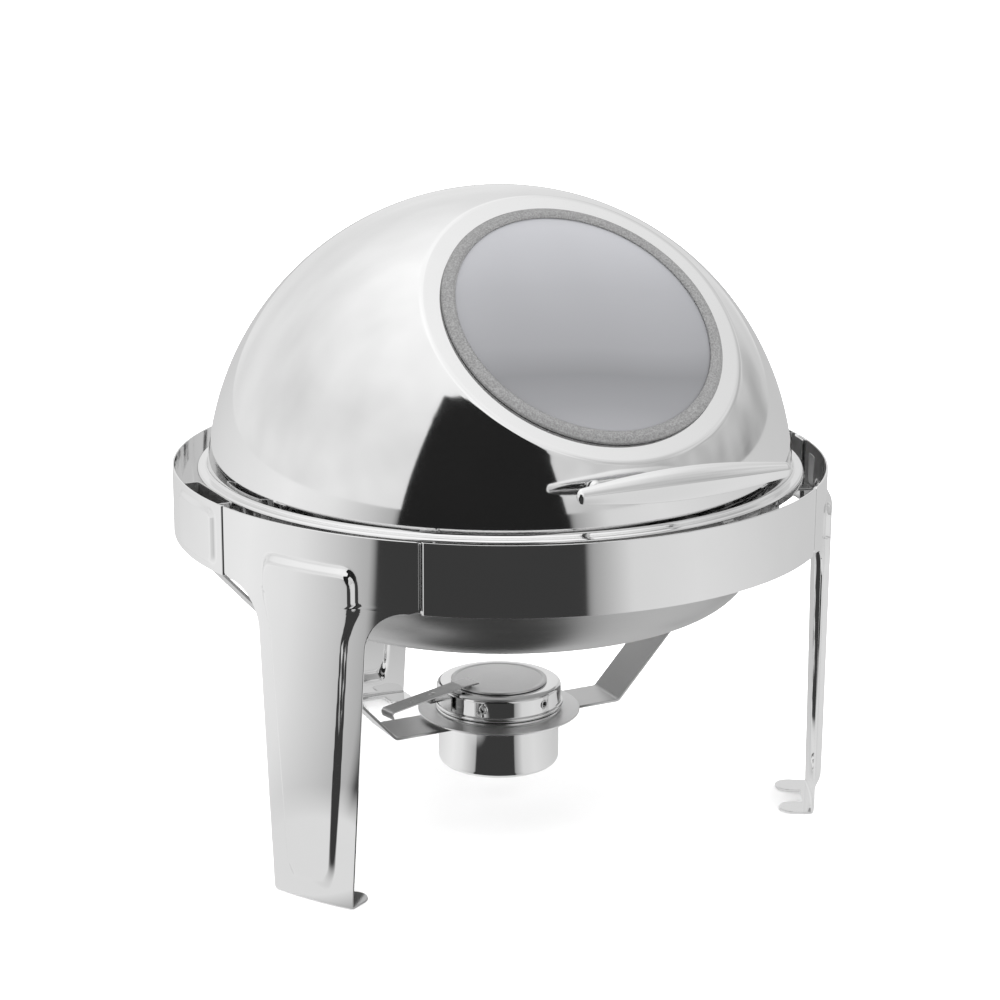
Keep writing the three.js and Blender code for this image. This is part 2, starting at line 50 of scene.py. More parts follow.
# Sizes are in millimetres about the ring's axis, z = 0 on the table. The guest stands at -Y.
mm = 0.001
panLow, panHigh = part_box("water_pan")
axisY = 500 * (panLow.y + panHigh.y)
joints = {joint["name"]: joint for joint in frame["joints"]}
pivotZ = joints["lid_roll"]["pos_m"][2] / mm


class Link:
    # A socket that can be used in Python sums.
    def __init__(self, nodes, socket):
        self.nodes, self.socket = nodes, socket

    def maths(self, operation, *values):
        return self.nodes.add("ShaderNodeMath", {"operation": operation}, dict(enumerate(values)))

    def __add__(self, other):
        return self.maths("ADD", self, other)

    def __sub__(self, other):
        return self.maths("SUBTRACT", self, other)

    def __rsub__(self, other):
        return self.maths("SUBTRACT", other, self)

    def __mul__(self, other):
        return self.maths("MULTIPLY", self, other)

    def __truediv__(self, other):
        return self.maths("DIVIDE", self, other)

    __radd__, __rmul__ = __add__, __mul__


class Nodes:
    def __init__(self, tree):
        self.tree = tree

    # One node: its settings first, then its sockets' values or links. A list of outputs gives several.
    def add(self, kind, settings=None, sockets=None, out=0):
        node = self.tree.nodes.new(kind)
        for name, value in (settings or {}).items():
            if name == "stops":
                ramp = node.color_ramp
                while len(ramp.elements) < len(value):
                    ramp.elements.new(0.5)
                for element, (place, colour) in zip(ramp.elements, value):
                    element.position, element.color = place, colour
            elif name == "curve":
                curve = node.mapping.curves[0]
                for point in value[1:-1]:
                    curve.points.new(*point)
                for point, place in zip(curve.points, value):
                    point.location, point.handle_type = place, "VECTOR"
                node.mapping.update()
            else:
                setattr(node, name, value)
        for name, value in (sockets or {}).items():
            if isinstance(value, Link):
                self.tree.links.new(value.socket, node.inputs[name])
            else:
                node.inputs[name].default_value = value
        if isinstance(out, list):
            return [Link(self, node.outputs[name]) for name in out]
        return Link(self, node.outputs[out]) if node.outputs else node


def grey(value, warm=0.0):
    return (value * (1 + warm), value, value * (1 - warm), 1.0)


def material(name, build, **fixed):
    made = bpy.data.materials.new(name)
    made.use_nodes = True
    made.node_tree.nodes.clear()
    nodes = Nodes(made.node_tree)
    place = nodes.add("ShaderNodeTexCoord", out="Object")
    sockets = dict(fixed)
    sockets.update(build(nodes, place))
    shader = nodes.add("ShaderNodeBsdfPrincipled", sockets=sockets)
    nodes.add("ShaderNodeOutputMaterial", sockets={"Surface": shader})
    return made


def noise(nodes, place, scale, detail=2.0, stretch=(1, 1, 1), turn=(0, 0, 0), centre=(0, 0, 0)):
    spot = nodes.add("ShaderNodeMapping", {}, {
        "Vector": place, "Location": centre, "Rotation": turn, "Scale": stretch})
    return nodes.add("ShaderNodeTexNoise", {}, {"Vector": spot, "Scale": scale, "Detail": detail})


def colours(nodes, factor, low, high):
    return nodes.add("ShaderNodeMix", {"data_type": "RGBA"}, {0: factor, 6: low, 7: high}, out=2)


def bump(nodes, height, strength, distance):
    return nodes.add("ShaderNodeBump", {}, {
        "Height": height, "Strength": strength, "Distance": distance})


mirror = {"light": 0.90, "dark": 0.84, "rough": 0.03, "smear": 0.07, "wave": 0.10}

def mirrorLook(nodes, place):
    smear = noise(nodes, place, 16, 4)
    scratch = noise(nodes, place, 420, 2, stretch=(1, 1, 6))
    wave = noise(nodes, place, 9, 1)
    return {
        "Base Color": colours(nodes, smear, grey(mirror["dark"]), grey(mirror["light"])),
        "Roughness": smear * smear * mirror["smear"] + scratch * 0.025 + mirror["rough"],
        "Normal": bump(nodes, wave + scratch * 0.004, mirror["wave"], 0.0015),
    }


# Turned sheet: fine rings about the axis that the grain is spun round.
def spunLook(centre, light, rough):
    def look(nodes, place):
        spot = nodes.add("ShaderNodeMapping", {}, {"Vector": place, "Location": centre})
        x, y, z = nodes.add("ShaderNodeSeparateXYZ", {}, {0: spot}, out=["X", "Y", "Z"])
        radius = (x * x + y * y).maths("SQRT", x * x + y * y)
        rings = nodes.add("ShaderNodeCombineXYZ", {}, {0: radius * 1000, 1: z * 1000, 2: x * 9})
        grain = nodes.add("ShaderNodeTexNoise", {}, {"Vector": rings, "Scale": 1.6, "Detail": 3})
        stain = noise(nodes, place, 12, 4)
        return {
            "Base Color": colours(nodes, grain * 0.6 + stain * 0.4, grey(light * 0.86), grey(light)),
            "Roughness": grain * 0.16 + stain * 0.12 + rough,
            "Normal": bump(nodes, grain, 0.14, 0.0002),
        }
    return look


# Rolled sheet: straight grain along one direction.
def rolledLook(turn, light, rough):
    def look(nodes, place):
        grain = noise(nodes, place, 60, 3, stretch=(0.6, 22, 22), turn=turn)
        stain = noise(nodes, place, 22, 4)
        return {
            "Base Color": colours(nodes, grain * 0.5 + stain * 0.5, grey(light * 0.86), grey(light)),
            "Roughness": grain * 0.14 + stain * 0.14 + rough,
            "Normal": bump(nodes, grain, 0.12, 0.0002),
        }
    return look


def plainLook(nodes, place):
    scuff = noise(nodes, place, 160, 4)
    cloud = noise(nodes, place, 40, 2)
    return {
        "Base Color": colours(nodes, scuff, grey(0.52), grey(0.72)),
        "Roughness": scuff * 0.16 + cloud * 0.1 + 0.1,
        "Normal": bump(nodes, scuff, 0.1, 0.0002),
    }


def siliconeLook(nodes, place):
    speckle = noise(nodes, place, 950, 3)
    sharp = nodes.add("ShaderNodeValToRGB", {"stops": [(0.36, grey(0.10)), (0.66, grey(0.18))]},
                      {"Fac": speckle}, out="Color")
    return {
        "Base Color": sharp,
        "Roughness": speckle * 0.2 + 0.42,
        "Normal": bump(nodes, speckle, 0.2, 0.0002),
    }


# Painted reflection: the pane's blue-grey tint is its own; its colour is painted greyest in a band low
# down and palest at the top.
glassTone = {"low": 0.312, "high": 0.439, "alpha": 0.88}
glassReflectionStops = [(0.0, 0.20), (0.16, 0.15), (0.3, 0.125), (0.42, 0.165), (0.7, 0.2), (1.0, 0.26)]


def glassLook(nodes, place):
    cloud = noise(nodes, place, 6, 2, stretch=(1, 1, 0.6))
    film = noise(nodes, place, 70, 3)
    x, y, z = nodes.add("ShaderNodeSeparateXYZ", {}, {0: place}, out=["X", "Y", "Z"])
    height = (z - glassTone["low"]) * (1 / (glassTone["high"] - glassTone["low"]))
    stops = [(at, (tone, tone * 1.01, tone * 1.06, 1)) for at, tone in glassReflectionStops]
    # Painted reflection and shade: the pane's colour is set by its height, a diagonal and soft clouds.
    tone = nodes.add("ShaderNodeValToRGB", {"stops": stops},
                     {"Fac": height + (x + y) * 0.5 + cloud * 0.24 - 0.01}, out="Color")
    return {
        "Base Color": tone,
        "Roughness": film * 0.05 + cloud * 0.05 + 0.04,
        "Alpha": cloud * 0.12 + glassTone["alpha"],
    }


def rubberLook(nodes, place):
    dust = noise(nodes, place, 300, 3)
    return {
        "Base Color": colours(nodes, dust, grey(0.010), grey(0.035)),
        "Roughness": dust * 0.2 + 0.55,
        "Normal": bump(nodes, dust, 0.3, 0.0002),
    }


def nylonLook(nodes, place):
    cloud = noise(nodes, place, 120, 3)
    return {
        "Base Color": colours(nodes, cloud, grey(0.62, 0.02), grey(0.78, 0.02)),
        "Roughness": cloud * 0.2 + 0.38,
        "Normal": bump(nodes, cloud, 0.1, 0.0002),
    }


ringCentre = (0, -axisY * mm, 0)
quarterTurn = math.radians(90)
looks = {
    "mirror": material("mirrorSteel", mirrorLook, Metallic=1.0),
    "spun": material("spunSteel", spunLook(ringCentre, 0.62, 0.24), Metallic=1.0),
    "coverSpun": material("coverSteel", spunLook(ringCentre, 0.93, 0.26), Metallic=1.0),
    "rolled": material("rolledSteel", rolledLook((0, 0, 0), 0.66, 0.20), Metallic=1.0),
    "upright": material("uprightSteel", rolledLook((0, quarterTurn, 0), 0.62, 0.22), Metallic=1.0),
    "plain": material("plainSteel", plainLook, Metallic=1.0),
    "silicone": material("greySilicone", siliconeLook),
    "glass": material("windowGlass", glassLook, IOR=1.5, Metallic=0.0),
    "rubber": material("blackRubber", rubberLook),
    "nylon": material("whiteNylon", nylonLook),
}
print("materials made:", len(looks))


def faceNormals(points, faces):
    corners = np.array([list(face) + [face[-1]] * (4 - len(face)) for face in faces])
    a, b, c, d = (points[corners[:, i]] for i in range(4))
    return corners, np.cross(c - a, d - b)


# Vertex normals in which large faces count most, so that flats stay flat beside small roundings.
def vertexNormals(points, faces):
    corners, normals = faceNormals(points, faces)
    normals = normals * np.linalg.norm(normals, axis=1)[:, None]
    total = np.zeros_like(points)
    for i in range(4):
        np.add.at(total, corners[:, i], normals)
    return total / np.maximum(np.linalg.norm(total, axis=1), 1e-12)[:, None]


def facedOut(points, faces):
    corners, normals = faceNormals(points, faces)
    inside = np.einsum("ij,ij->", points[corners[:, 0]], normals) < 0
    return [tuple(reversed(face)) for face in faces] if inside else list(faces)


def piece(name, points, faces, look, body, replaced=(), normals=None):
    points = np.asarray(points, float)
    if normals is None:
        faces = facedOut(points, faces)
        normals = vertexNormals(points, faces)
    mesh = bpy.data.meshes.new(name)
    mesh.from_pydata(((points + (0, axisY, 0)) * mm).tolist(), [], faces)
    mesh.shade_smooth()
    mesh.normals_split_custom_set_from_vertices(normals.tolist())
    mesh.materials.append(looks[look])
    made = bpy.data.objects.new(name, mesh)
    bpy.context.scene.collection.objects.link(made)
    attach(made, body)
    if replaced:
        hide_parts(*replaced)
    return made


def gridFaces(rows, columns, loopRows=False, loopColumns=False):
    faces = []
    for i in range(rows if loopRows else rows - 1):
        for j in range(columns if loopColumns else columns - 1):
            k, m = (i + 1) % rows, (j + 1) % columns
            faces.append((i * columns + j, i * columns + m, k * columns + m, k * columns + j))
    return faces


# Turns each inner corner of a path into an arc; a radius for all corners or one for each.
def rounded(path, radius, closed=True, steps=4):
    path = [np.array(point, float) for point in path]
    out = []
    for i, corner in enumerate(path):
        r = radius[i] if isinstance(radius, (list, tuple)) else radius
        if r <= 0 or (not closed and i in (0, len(path) - 1)):
            out.append(corner)
            continue
        before, after = path[i - 1] - corner, path[(i + 1) % len(path)] - corner
        lengths = np.linalg.norm(before), np.linalg.norm(after)
        before, after = before / lengths[0], after / lengths[1]
        half = math.acos(max(-1, min(1, before @ after))) / 2
        if half > 1.55:
            out.append(corner)
            continue
        cut = min(r / math.tan(half), 0.49 * lengths[0], 0.49 * lengths[1])
        centre = corner + (before + after) / np.linalg.norm(before + after) * (cut / math.cos(half))
        start, end = corner + before * cut - centre, corner + after * cut - centre
        sweep = math.pi - 2 * half
        for k in range(steps + 1):
            t = k / steps
            out.append(centre + (math.sin((1 - t) * sweep) * start + math.sin(t * sweep) * end)
                       / math.sin(sweep))
    return out


# A profile of (radius, z) turned about the z axis. It closes on itself, or ends on the axis.
def lathe(profile, segments=128):
    angles = np.linspace(0, 2 * math.pi, segments, endpoint=False)
    points, rows = [], []
    for radius, z in profile:
        if radius < 1e-6:
            rows.append([len(points)] * segments)
            points.append((0, 0, z))
        else:
            rows.append(list(range(len(points), len(points) + segments)))
            points += [(radius * math.cos(a), radius * math.sin(a), z) for a in angles]
    onAxis = profile[0][0] < 1e-6
    faces = []
    for i in range(len(rows) - 1 if onAxis else len(rows)):
        low, high = rows[i], rows[(i + 1) % len(rows)]
        for j in range(segments):
            k = (j + 1) % segments
            face = [low[j], low[k], high[k], high[j]]
            face = [v for n, v in enumerate(face) if v not in face[:n]]
            if len(face) > 2:
                faces.append(tuple(face))
    return np.array(points), faces


# A closed section that follows the wall of a bent sheet, from a path down its middle.
def walled(path, thickness):
    path = [np.array(point, float) for point in path]
    left, right = [], []
    for i, point in enumerate(path):
        before = point - path[i - 1] if i else path[1] - path[0]
        after = path[i + 1] - point if i + 1 < len(path) else before
        along = before / np.linalg.norm(before) + after / np.linalg.norm(after)
        side = np.array([-along[1], along[0]]) / np.linalg.norm(along)
        left.append(point + side * thickness / 2)
        right.append(point - side * thickness / 2)
    return left + right[::-1]


# Gives an open surface the thickness of sheet metal, on the side away from its normals, with
# rounded edges all round. Points, faces and normals come back closed.
def sheetSolid(points, faces, thickness, edge=0.4):
    points = np.asarray(points, float)
    normals = vertexNormals(points, faces)
    directed = {(face[i], face[(i + 1) % len(face)]) for face in faces for i in range(len(face))}
    following = {a: b for a, b in directed if (b, a) not in directed}
    leading = {b: a for a, b in following.items()}
    rim = sorted(following)
    ahead = points[[following[v] for v in rim]] - points[rim]
    behind = points[rim] - points[[leading[v] for v in rim]]
    ahead /= np.linalg.norm(ahead, axis=1)[:, None]
    behind /= np.linalg.norm(behind, axis=1)[:, None]
    out = np.cross(ahead + behind, normals[rim])
    out /= np.maximum(np.linalg.norm(out, axis=1), 1e-9)[:, None]
    count = len(points)
    place = {v: i for i, v in enumerate(rim)}
    allPoints = [points, points - normals * thickness]
    allNormals = [normals, -normals]
    rows = [rim]
    total = 2 * count
    for n, turn in enumerate([30, 60, 90, 90, 120, 150]):
        a = math.radians(turn)
        depth = edge * (1 - math.cos(a)) if n < 3 else thickness - edge * (1 + math.cos(a))
        allPoints.append(points[rim] + out * edge * math.sin(a) - normals[rim] * depth)
        allNormals.append(out * math.sin(a) + normals[rim] * math.cos(a))
        rows.append(list(range(total, total + len(rim))))
        total += len(rim)
    rows.append([v + count for v in rim])
    made = [tuple(face) for face in faces]
    made += [tuple(v + count for v in reversed(face)) for face in faces]
    for low, high in zip(rows, rows[1:]):
        for v in rim:
            i, j = place[v], place[following[v]]
            made.append((low[j], low[i], high[i], high[j]))
    return np.vstack(allPoints), made, np.vstack(allNormals)


def turned(points, bearing):
    a = math.radians(bearing)
    c, s = math.cos(a), math.sin(a)
    return points @ np.array([[c, s, 0], [-s, c, 0], [0, 0, 1]])


# Mirrors a closed piece from right to left.
def mirrored(points, faces, normals):
    flip = np.array([-1, 1, 1])
    return points * flip, [tuple(reversed(face)) for face in faces], normals * flip


def smooth(t):
    t = np.clip(t, 0, 1)
    return t * t * t * (t * (6 * t - 15) + 10)


# Signed distance from points (x, z) to a closed outline, below zero inside.
def outlineDistance(x, z, outline):
    outline = np.array(outline)
    nearest = np.full(x.shape, 1e9)
    inside = np.zeros(x.shape, bool)
    for (x0, z0), (x1, z1) in zip(outline, np.roll(outline, -1, axis=0)):
        dx, dz = x1 - x0, z1 - z0
        t = np.clip(((x - x0) * dx + (z - z0) * dz) / (dx * dx + dz * dz + 1e-12), 0, 1)
        nearest = np.minimum(nearest, np.hypot(x - x0 - t * dx, z - z0 - t * dz))
        crosses = (z0 > z) != (z1 > z)
        inside ^= crosses & (x < dx * (z - z0) / (dz if dz else 1e-12) + x0)
    return np.where(inside, -nearest, nearest)


# How far a pressed panel has risen at each point: 0 outside its foot, 1 inside its top.
def pressed(x, z, footLine, topLine):
    out = np.maximum(-outlineDistance(x, z, footLine), 0)
    into = np.maximum(outlineDistance(x, z, topLine), 0)
    return smooth(out / (out + into + 1e-9))


def bothSides(right, corner):
    return rounded(right + [(-x, z) for x, z in reversed(right)], corner, steps=8)


ring = {"radius": 235, "sheet": 1.5, "top": 259.5, "bottom": 211}
leg = {
    "bearings": {"front_left": -60, "front_right": 60, "rear": 180},
    "halfTop": 78.3, "halfNeck": 42.4, "halfFoot": 31.9, "fillet": 30, "columns": 60,
    "rise": 4.0, "bend": 3.0, "reach": 26.6, "notchHalf": 11.9, "notchTo": 8.4, "tip": 10.0,
    "footLine": [(37.5, 238.5), (37.5, 206), (30.5, 187), (19, 9)],
    "topLine": [(33.9, 232), (33.9, 209), (28.4, 189), (15.5, 23)],
}
seam = {"halfLeg": 19.6, "tongue": 3.0, "drop": 1.8, "slope": 0.85, "inset": 1.0}
panel = {"rise": 2.5, "half": 32, "low": 215.5, "high": 255, "slope": 4.5, "corner": 8}


def legSurface():
    rows = [(0, z, leg["halfTop"]) for z in np.arange(ring["top"] - 0.4, ring["bottom"] + 1, -1.9)]
    for a in np.linspace(90, 0, 15):
        s, c = math.sin(math.radians(a)), math.cos(math.radians(a))
        z = ring["bottom"] - leg["fillet"] * (1 - s) + 0.4
        rows.append((0, z, leg["halfNeck"] + leg["fillet"] * (1 - c)))
    neck = rows[-1][1]
    for z in np.linspace(neck, leg["bend"], 118)[1:]:
        rows.append((0, z, leg["halfFoot"] + (leg["halfNeck"] - leg["halfFoot"]) * z / neck))
    for a in np.linspace(0, 90, 8)[1:]:
        a = math.radians(a)
        rows.append((leg["bend"] * (1 - math.cos(a)), leg["bend"] * (1 - math.sin(a)), leg["halfFoot"]))
    fork = leg["reach"] - leg["tip"]
    for reach in [leg["notchTo"] - 2.4, leg["notchTo"]]:
        rows.append((reach, 0, leg["halfFoot"]))
    lastFull = len(rows) - 1
    prong = (leg["halfFoot"] - leg["notchHalf"]) / 2
    for reach in np.linspace(leg["notchTo"], fork, 4)[1:]:
        rows.append((reach, 0, prong))
    for a in np.linspace(0, 84, 9)[1:]:
        a = math.radians(a)
        rows.append((fork + leg["tip"] * math.sin(a), 0, prong * math.cos(a)))
    half = leg["columns"]
    split = round(half * leg["notchHalf"] / leg["halfFoot"])
    points, index, where = [], {}, []
    for i, (reach, z, width) in enumerate(rows):
        for k in range(-half, half + 1):
            if i <= lastFull:
                x = width * k / half
                if reach > leg["bend"] / 2:
                    inner = leg["notchHalf"]
                    x = inner * k / split if abs(k) <= split else math.copysign(
                        inner + (width - inner) * (abs(k) - split) / (half - split), k)
            elif abs(k) < split:
                continue
            else:
                t = (abs(k) - split) / (half - split) * 2 - 1
                x = math.copysign(leg["notchHalf"] + prong + width * t, k)
            index[i, k] = len(points)
            where.append((x, z, reach))
            points.append(None)
    x, z, reach = np.array(where).T
    rise = leg["rise"] * pressed(x, z, bothSides(leg["footLine"], 9), bothSides(leg["topLine"], 8))
    rise[reach > 0] = 0
    radius = ring["radius"] + rise
    angle = np.arcsin(x / ring["radius"])
    straight = np.clip(reach / leg["notchTo"], 0, 1)
    y = -radius * np.cos(angle) * (1 - straight) - ring["radius"] * straight + reach
    xs = np.where(reach > 0, x, radius * np.sin(angle))
    faces = []
    for (i, k), v in index.items():
        corner = [(i, k), (i + 1, k), (i + 1, k + 1), (i, k + 1)]
        if all(c in index for c in corner) and not (i == lastFull and -split <= k < split):
            faces.append(tuple(index[c] for c in corner))
    return np.column_stack([xs, y, z]), faces


surface, surfaceFaces = legSurface()
legPoints, legFaces, legNormals = sheetSolid(surface, surfaceFaces, ring["sheet"])
for side, bearing in leg["bearings"].items():
    piece(f"leg_{side}_sheet", turned(legPoints, bearing), legFaces, "mirror", "stand",
          [f"leg_{side}"], turned(legNormals, bearing))
print("legs made:", len(legFaces), "faces each")


def bandSurface(start, end, middle=None):
    ends = [0.05, 0.15, 0.25, 0.35, 0.45, 0.55, 0.65, 0.75, 0.85]
    edge = [-seam["tongue"], -1.5] + ends
    step = 0.4 if middle is not None else 1.5
    inner = np.arange(start + 1.2, end - 1.1, step)
    bearings = np.array([start + e for e in edge] + list(inner) + [end - e for e in reversed(edge)])
    away = np.minimum(bearings - start, end - bearings)
    drop = -seam["drop"] * (1 - smooth((away - 0.05) / (seam["slope"] - 0.05)))
    inset = np.where(away < 0.3, seam["inset"], 0.0)
    low, high = ring["bottom"] + 0.4, ring["top"] - 0.4
    heights = np.linspace(high, low, 44 if middle is not None else 8)
    share = (heights - low) / (high - low)
    z = (low + inset)[None, :] + share[:, None] * (high - low - 2 * inset)[None, :]
    b = np.broadcast_to(bearings, z.shape)
    radius = ring["radius"] + np.broadcast_to(drop, z.shape)
    if middle is not None:
        x = ring["radius"] * np.radians(b - middle)

        def line(grow, corner):
            half, low, high = panel["half"] + grow, panel["low"] - grow, panel["high"] + grow
            return bothSides([(half, high), (half, low)], corner)
        raised = pressed(x, z, line(1.0, panel["corner"]),
                         line(1.0 - panel["slope"], panel["corner"] - 3))
        radius = radius + panel["rise"] * raised
    b = np.radians(b)
    points = np.stack([radius * np.sin(b), -radius * np.cos(b), z], axis=-1).reshape(-1, 3)
    faces = [tuple(reversed(f)) for f in gridFaces(*z.shape)]
    return points, faces


frontHalf = leg["bearings"]["front_right"] - seam["halfLeg"]
for name, start, end, middle in [
    ("band_front", -frontHalf, frontHalf, None),
    ("band_right", 60 + seam["halfLeg"], 180 - seam["halfLeg"], 90),
    ("band_left", -180 + seam["halfLeg"], -60 - seam["halfLeg"], -90),
]:
    points, faces, normals = sheetSolid(*bandSurface(start, end, middle), ring["sheet"])
    piece(name + "_sheet", points, faces, "mirror", "stand", [name], normals)
print("bands made")


# A strip of sheet bent along a path; the width direction and place come from a function.
def stripSurface(path, width, place, columns=9):
    across = np.linspace(-width / 2, width / 2, columns)
    return np.array([place(u, w, t) for u, w in path for t in across]), gridFaces(len(path), columns)


def bentSheet(name, path, width, place, thickness, look, body, replaced, bearing=0, flip=False,
              mirror=False):
    points, faces = stripSurface(path, width, place)
    if flip:
        faces = [tuple(reversed(face)) for face in faces]
    points, faces, normals = sheetSolid(points, faces, thickness, min(0.4, thickness / 2.5))
    points, normals = turned(points, bearing), turned(normals, bearing)
    if mirror:
        points, faces, normals = mirrored(points, faces, normals)
    return piece(name, points, faces, look, body, replaced, normals)


wallIn = ring["radius"] - ring["sheet"]
channel = {"x": 220.5, "half": 30, "low": 213.4, "high": 258.1, "bend": 2.2}
for side in ("right", "left"):
    x, half = channel["x"], channel["half"]
    reach = math.sqrt((wallIn - 0.6) ** 2 - half ** 2)
    path = rounded([(reach, -half), (x, -half), (x, half), (reach, half)], channel["bend"], False, 6)
    bentSheet(f"pivot_channel_{side}_sheet", path, channel["high"] - channel["low"],
              lambda u, v, t: (u, v, t + (channel["high"] + channel["low"]) / 2), ring["sheet"],
              "rolled", "stand", [f"pivot_channel_{side}"], flip=True,
              mirror=side == "left")

hoop = {"radius": 201.5, "sheet": 2, "top": 241.2, "height": 14}
hoopIn, hoopLow = hoop["radius"] - hoop["sheet"], hoop["top"] - hoop["height"]
section = rounded([(hoopIn, hoopLow), (hoop["radius"], hoopLow), (hoop["radius"], hoop["top"]),
                   (hoopIn, hoop["top"])], 0.7)
points, faces = lathe(section, 180)
piece("pan_hoop_ring", points, faces, "spun", "stand", ["pan_hoop"])

gap = 0.3  # air between two pieces that touch
tabR = wallIn - gap
arm = {"width": 13, "top": 251,
       "bearings": {"front_left": -34, "front_right": 34, "side_left": -72, "side_right": 72}}
armIn, armLow = hoop["radius"] + gap, hoopLow + 0.2
outward = lambda u, w, t: (t, -u, w)
path = rounded([(armIn, hoop["top"] - 1), (armIn, armLow), (tabR, armLow), (tabR, arm["top"])],
               2.4, False, 6)
for side, bearing in arm["bearings"].items():
    bentSheet(f"hoop_arm_{side}_strip", path, arm["width"], outward, ring["sheet"], "upright", "stand",
              [f"hoop_arm_{side}"], bearing, flip=True)

rest = {"width": 12, "top": 247, "low": 232, "reach": 209, "bearings": {"left": -21, "right": 21}}
restTop = rest["top"] + ring["sheet"] / 2
path = rounded([(tabR, rest["low"]), (tabR, restTop), (rest["reach"], restTop)], 2.4, False, 6)
bumper = {"radius": 5, "at": 215, "low": restTop + gap, "top": 250.7}
for side, bearing in rest["bearings"].items():
    bentSheet(f"lid_rest_{side}_strip", path, rest["width"], outward, ring["sheet"], "upright", "stand",
              [f"lid_rest_{side}"], bearing)
    section = rounded([(0, bumper["low"]), (bumper["radius"], bumper["low"]),
                       (bumper["radius"] - 0.5, bumper["top"]), (0, bumper["top"])],
                      [0, 0.4, 1.4, 0], True, 6)
    points, faces = lathe(section, 40)
    piece(f"lid_bumper_{side}_stud", turned(points - (0, bumper["at"], 0), bearing), faces, "rubber",
          "stand", [f"lid_bumper_{side}"])
print("ring fittings made")


pans = {
    "water_pan": {"rim": 204, "rimTop": 242.7, "wallTop": 191, "wallLow": 183, "bottom": 161,
                  "corner": 35},
    "food_pan": {"rim": 202, "rimTop": 244.4, "wallTop": 186, "wallLow": 170, "bottom": 181,
                 "corner": 22},
}
panSheet = 1.2
for name, pan in pans.items():
    half = panSheet / 2
    middle = rounded([
        (0, pan["bottom"] + half), (pan["wallLow"] - half, pan["bottom"] + half),
        (pan["wallTop"] - half, pan["rimTop"] - half), (pan["rim"] - 0.4, pan["rimTop"] - half)],
        [0, pan["corner"], 2.4, 0], False, 20)
    flats = [0] * (len(middle) - 1)
    section = rounded(walled(middle, panSheet), flats + [0.5, 0.5] + flats, True, 4)
    section[0][0] = section[-1][0] = 0
    points, faces = lathe(section, 192)
    piece(name + "_dish", points, faces, "spun", "stand", [name])
print("pans made")


window = {"elevation": 48.4, "plane": 177.2, "hole": 97, "glass": 93.8, "crease": 0.9,
          "groove": 0.14, "grooveWidth": 0.0034}
dome = {"radius": 210.4, "sheet": 1.2, "lipRadius": 217.7, "lipLow": 251, "lipTop": 257.5,
        "fillet": 3.2, "columns": 240, "spread": 40.0}
tilt = math.radians(window["elevation"])
aim = np.array([0, -math.cos(tilt), math.sin(tilt)])
upAlong = np.array([0, math.sin(tilt), math.cos(tilt)])
pivotAt = np.array([0, 0, pivotZ])


# Sets a lathe made along +Z so that it stands on the window's plane.
def toWindow(points):
    return points @ np.array([[1, 0, 0], upAlong, aim]) + pivotAt


# How far the dome is from its middle, at an angle from the window's axis. The window's flat face
# meets the round of the dome in a soft crease with a fine groove.
def domeReach(angle, radius, plane):
    flat = plane / np.maximum(np.cos(angle), 0.05)
    blend = window["crease"]
    gap = np.clip(0.5 + 0.5 * (flat - radius) / blend, 0, 1)
    fromCrease = (angle - math.acos(plane / radius)) / window["grooveWidth"]
    groove = window["groove"] * math.exp(-fromCrease ** 2)
    return flat * (1 - gap) + radius * gap - blend * gap * (1 - gap) - groove


# Rings of points from the window's hole, over the dome and down the lip's profile.
def domeSkin(radius, plane, holeR, profile):
    columns = dome["columns"]
    around = np.linspace(0, 2 * math.pi, columns, endpoint=False)
    axisX = np.array([1, 0, 0])
    first = math.atan(holeR / plane)
    crease = math.acos(plane / radius)
    spread = math.radians(dome["spread"])
    side = np.cos(around)[:, None] * axisX + np.sin(around)[:, None] * upAlong
    angles = [*np.linspace(first, crease - 0.02, 6), *np.linspace(crease - 0.016, crease + 0.016, 9),
              *np.linspace(crease + 0.02, spread, 6)]
    rings = []
    for angle in angles:
        direction = math.cos(angle) * aim + math.sin(angle) * side
        rings.append(direction * domeReach(angle, radius, plane))
    start = math.cos(spread) * aim + math.sin(spread) * side
    rimAngle = math.asin(profile[0][1] / radius)
    end = np.column_stack([np.cos(around), np.sin(around), np.zeros(columns)])
    end = end * math.cos(rimAngle) + np.array([0, 0, math.sin(rimAngle)])
    for t in np.linspace(0, 1, 46)[1:]:
        dot = np.clip((start * end).sum(1), -1, 1)
        omega = np.arccos(dot)
        mix = (np.sin((1 - t) * omega)[:, None] * start + np.sin(t * omega)[:, None] * end)
        rings.append(mix / np.sin(omega)[:, None] * radius)
    flat = end - np.array([0, 0, math.sin(rimAngle)])
    flat /= np.linalg.norm(flat, axis=1)[:, None]
    for r, z in profile[1:]:
        rings.append(flat * r + np.array([0, 0, z]))
    return rings


def lipProfile(radius, lipRadius, low, top, bend):
    start = dome["fillet"] + top + 1.2
    meet = math.sqrt(radius ** 2 - start ** 2)
    foot = math.sqrt(radius ** 2 - top ** 2)
    path = rounded([(meet, start), (foot, top), (lipRadius, top), (lipRadius, low)],
                   [0, dome["fillet"], bend, 0], False, 8)
    return [tuple(point) for point in path]


lipTop, lipLow = dome["lipTop"] - pivotZ, dome["lipLow"] - pivotZ
outer = domeSkin(dome["radius"], window["plane"], window["hole"],
                 lipProfile(dome["radius"], dome["lipRadius"], lipLow + 0.5, lipTop, 2.2))
innerR = dome["radius"] - dome["sheet"]
inner = domeSkin(innerR, window["plane"] - dome["sheet"], window["hole"],
                 lipProfile(innerR, dome["lipRadius"] - dome["sheet"], lipLow + 0.5,
                            lipTop - dome["sheet"], 1.4))
edgeRing = (outer[-1] + inner[-1]) / 2 - np.array([0, 0, 0.5])
rings = outer + [edgeRing] + inner[::-1]
points = np.vstack(rings) + pivotAt
faces = gridFaces(len(rings), dome["columns"], loopRows=True, loopColumns=True)
piece("lid_dome_shell", points, faces, "mirror", "lid", ["lid_dome"])
print("dome made:", len(faces), "faces")

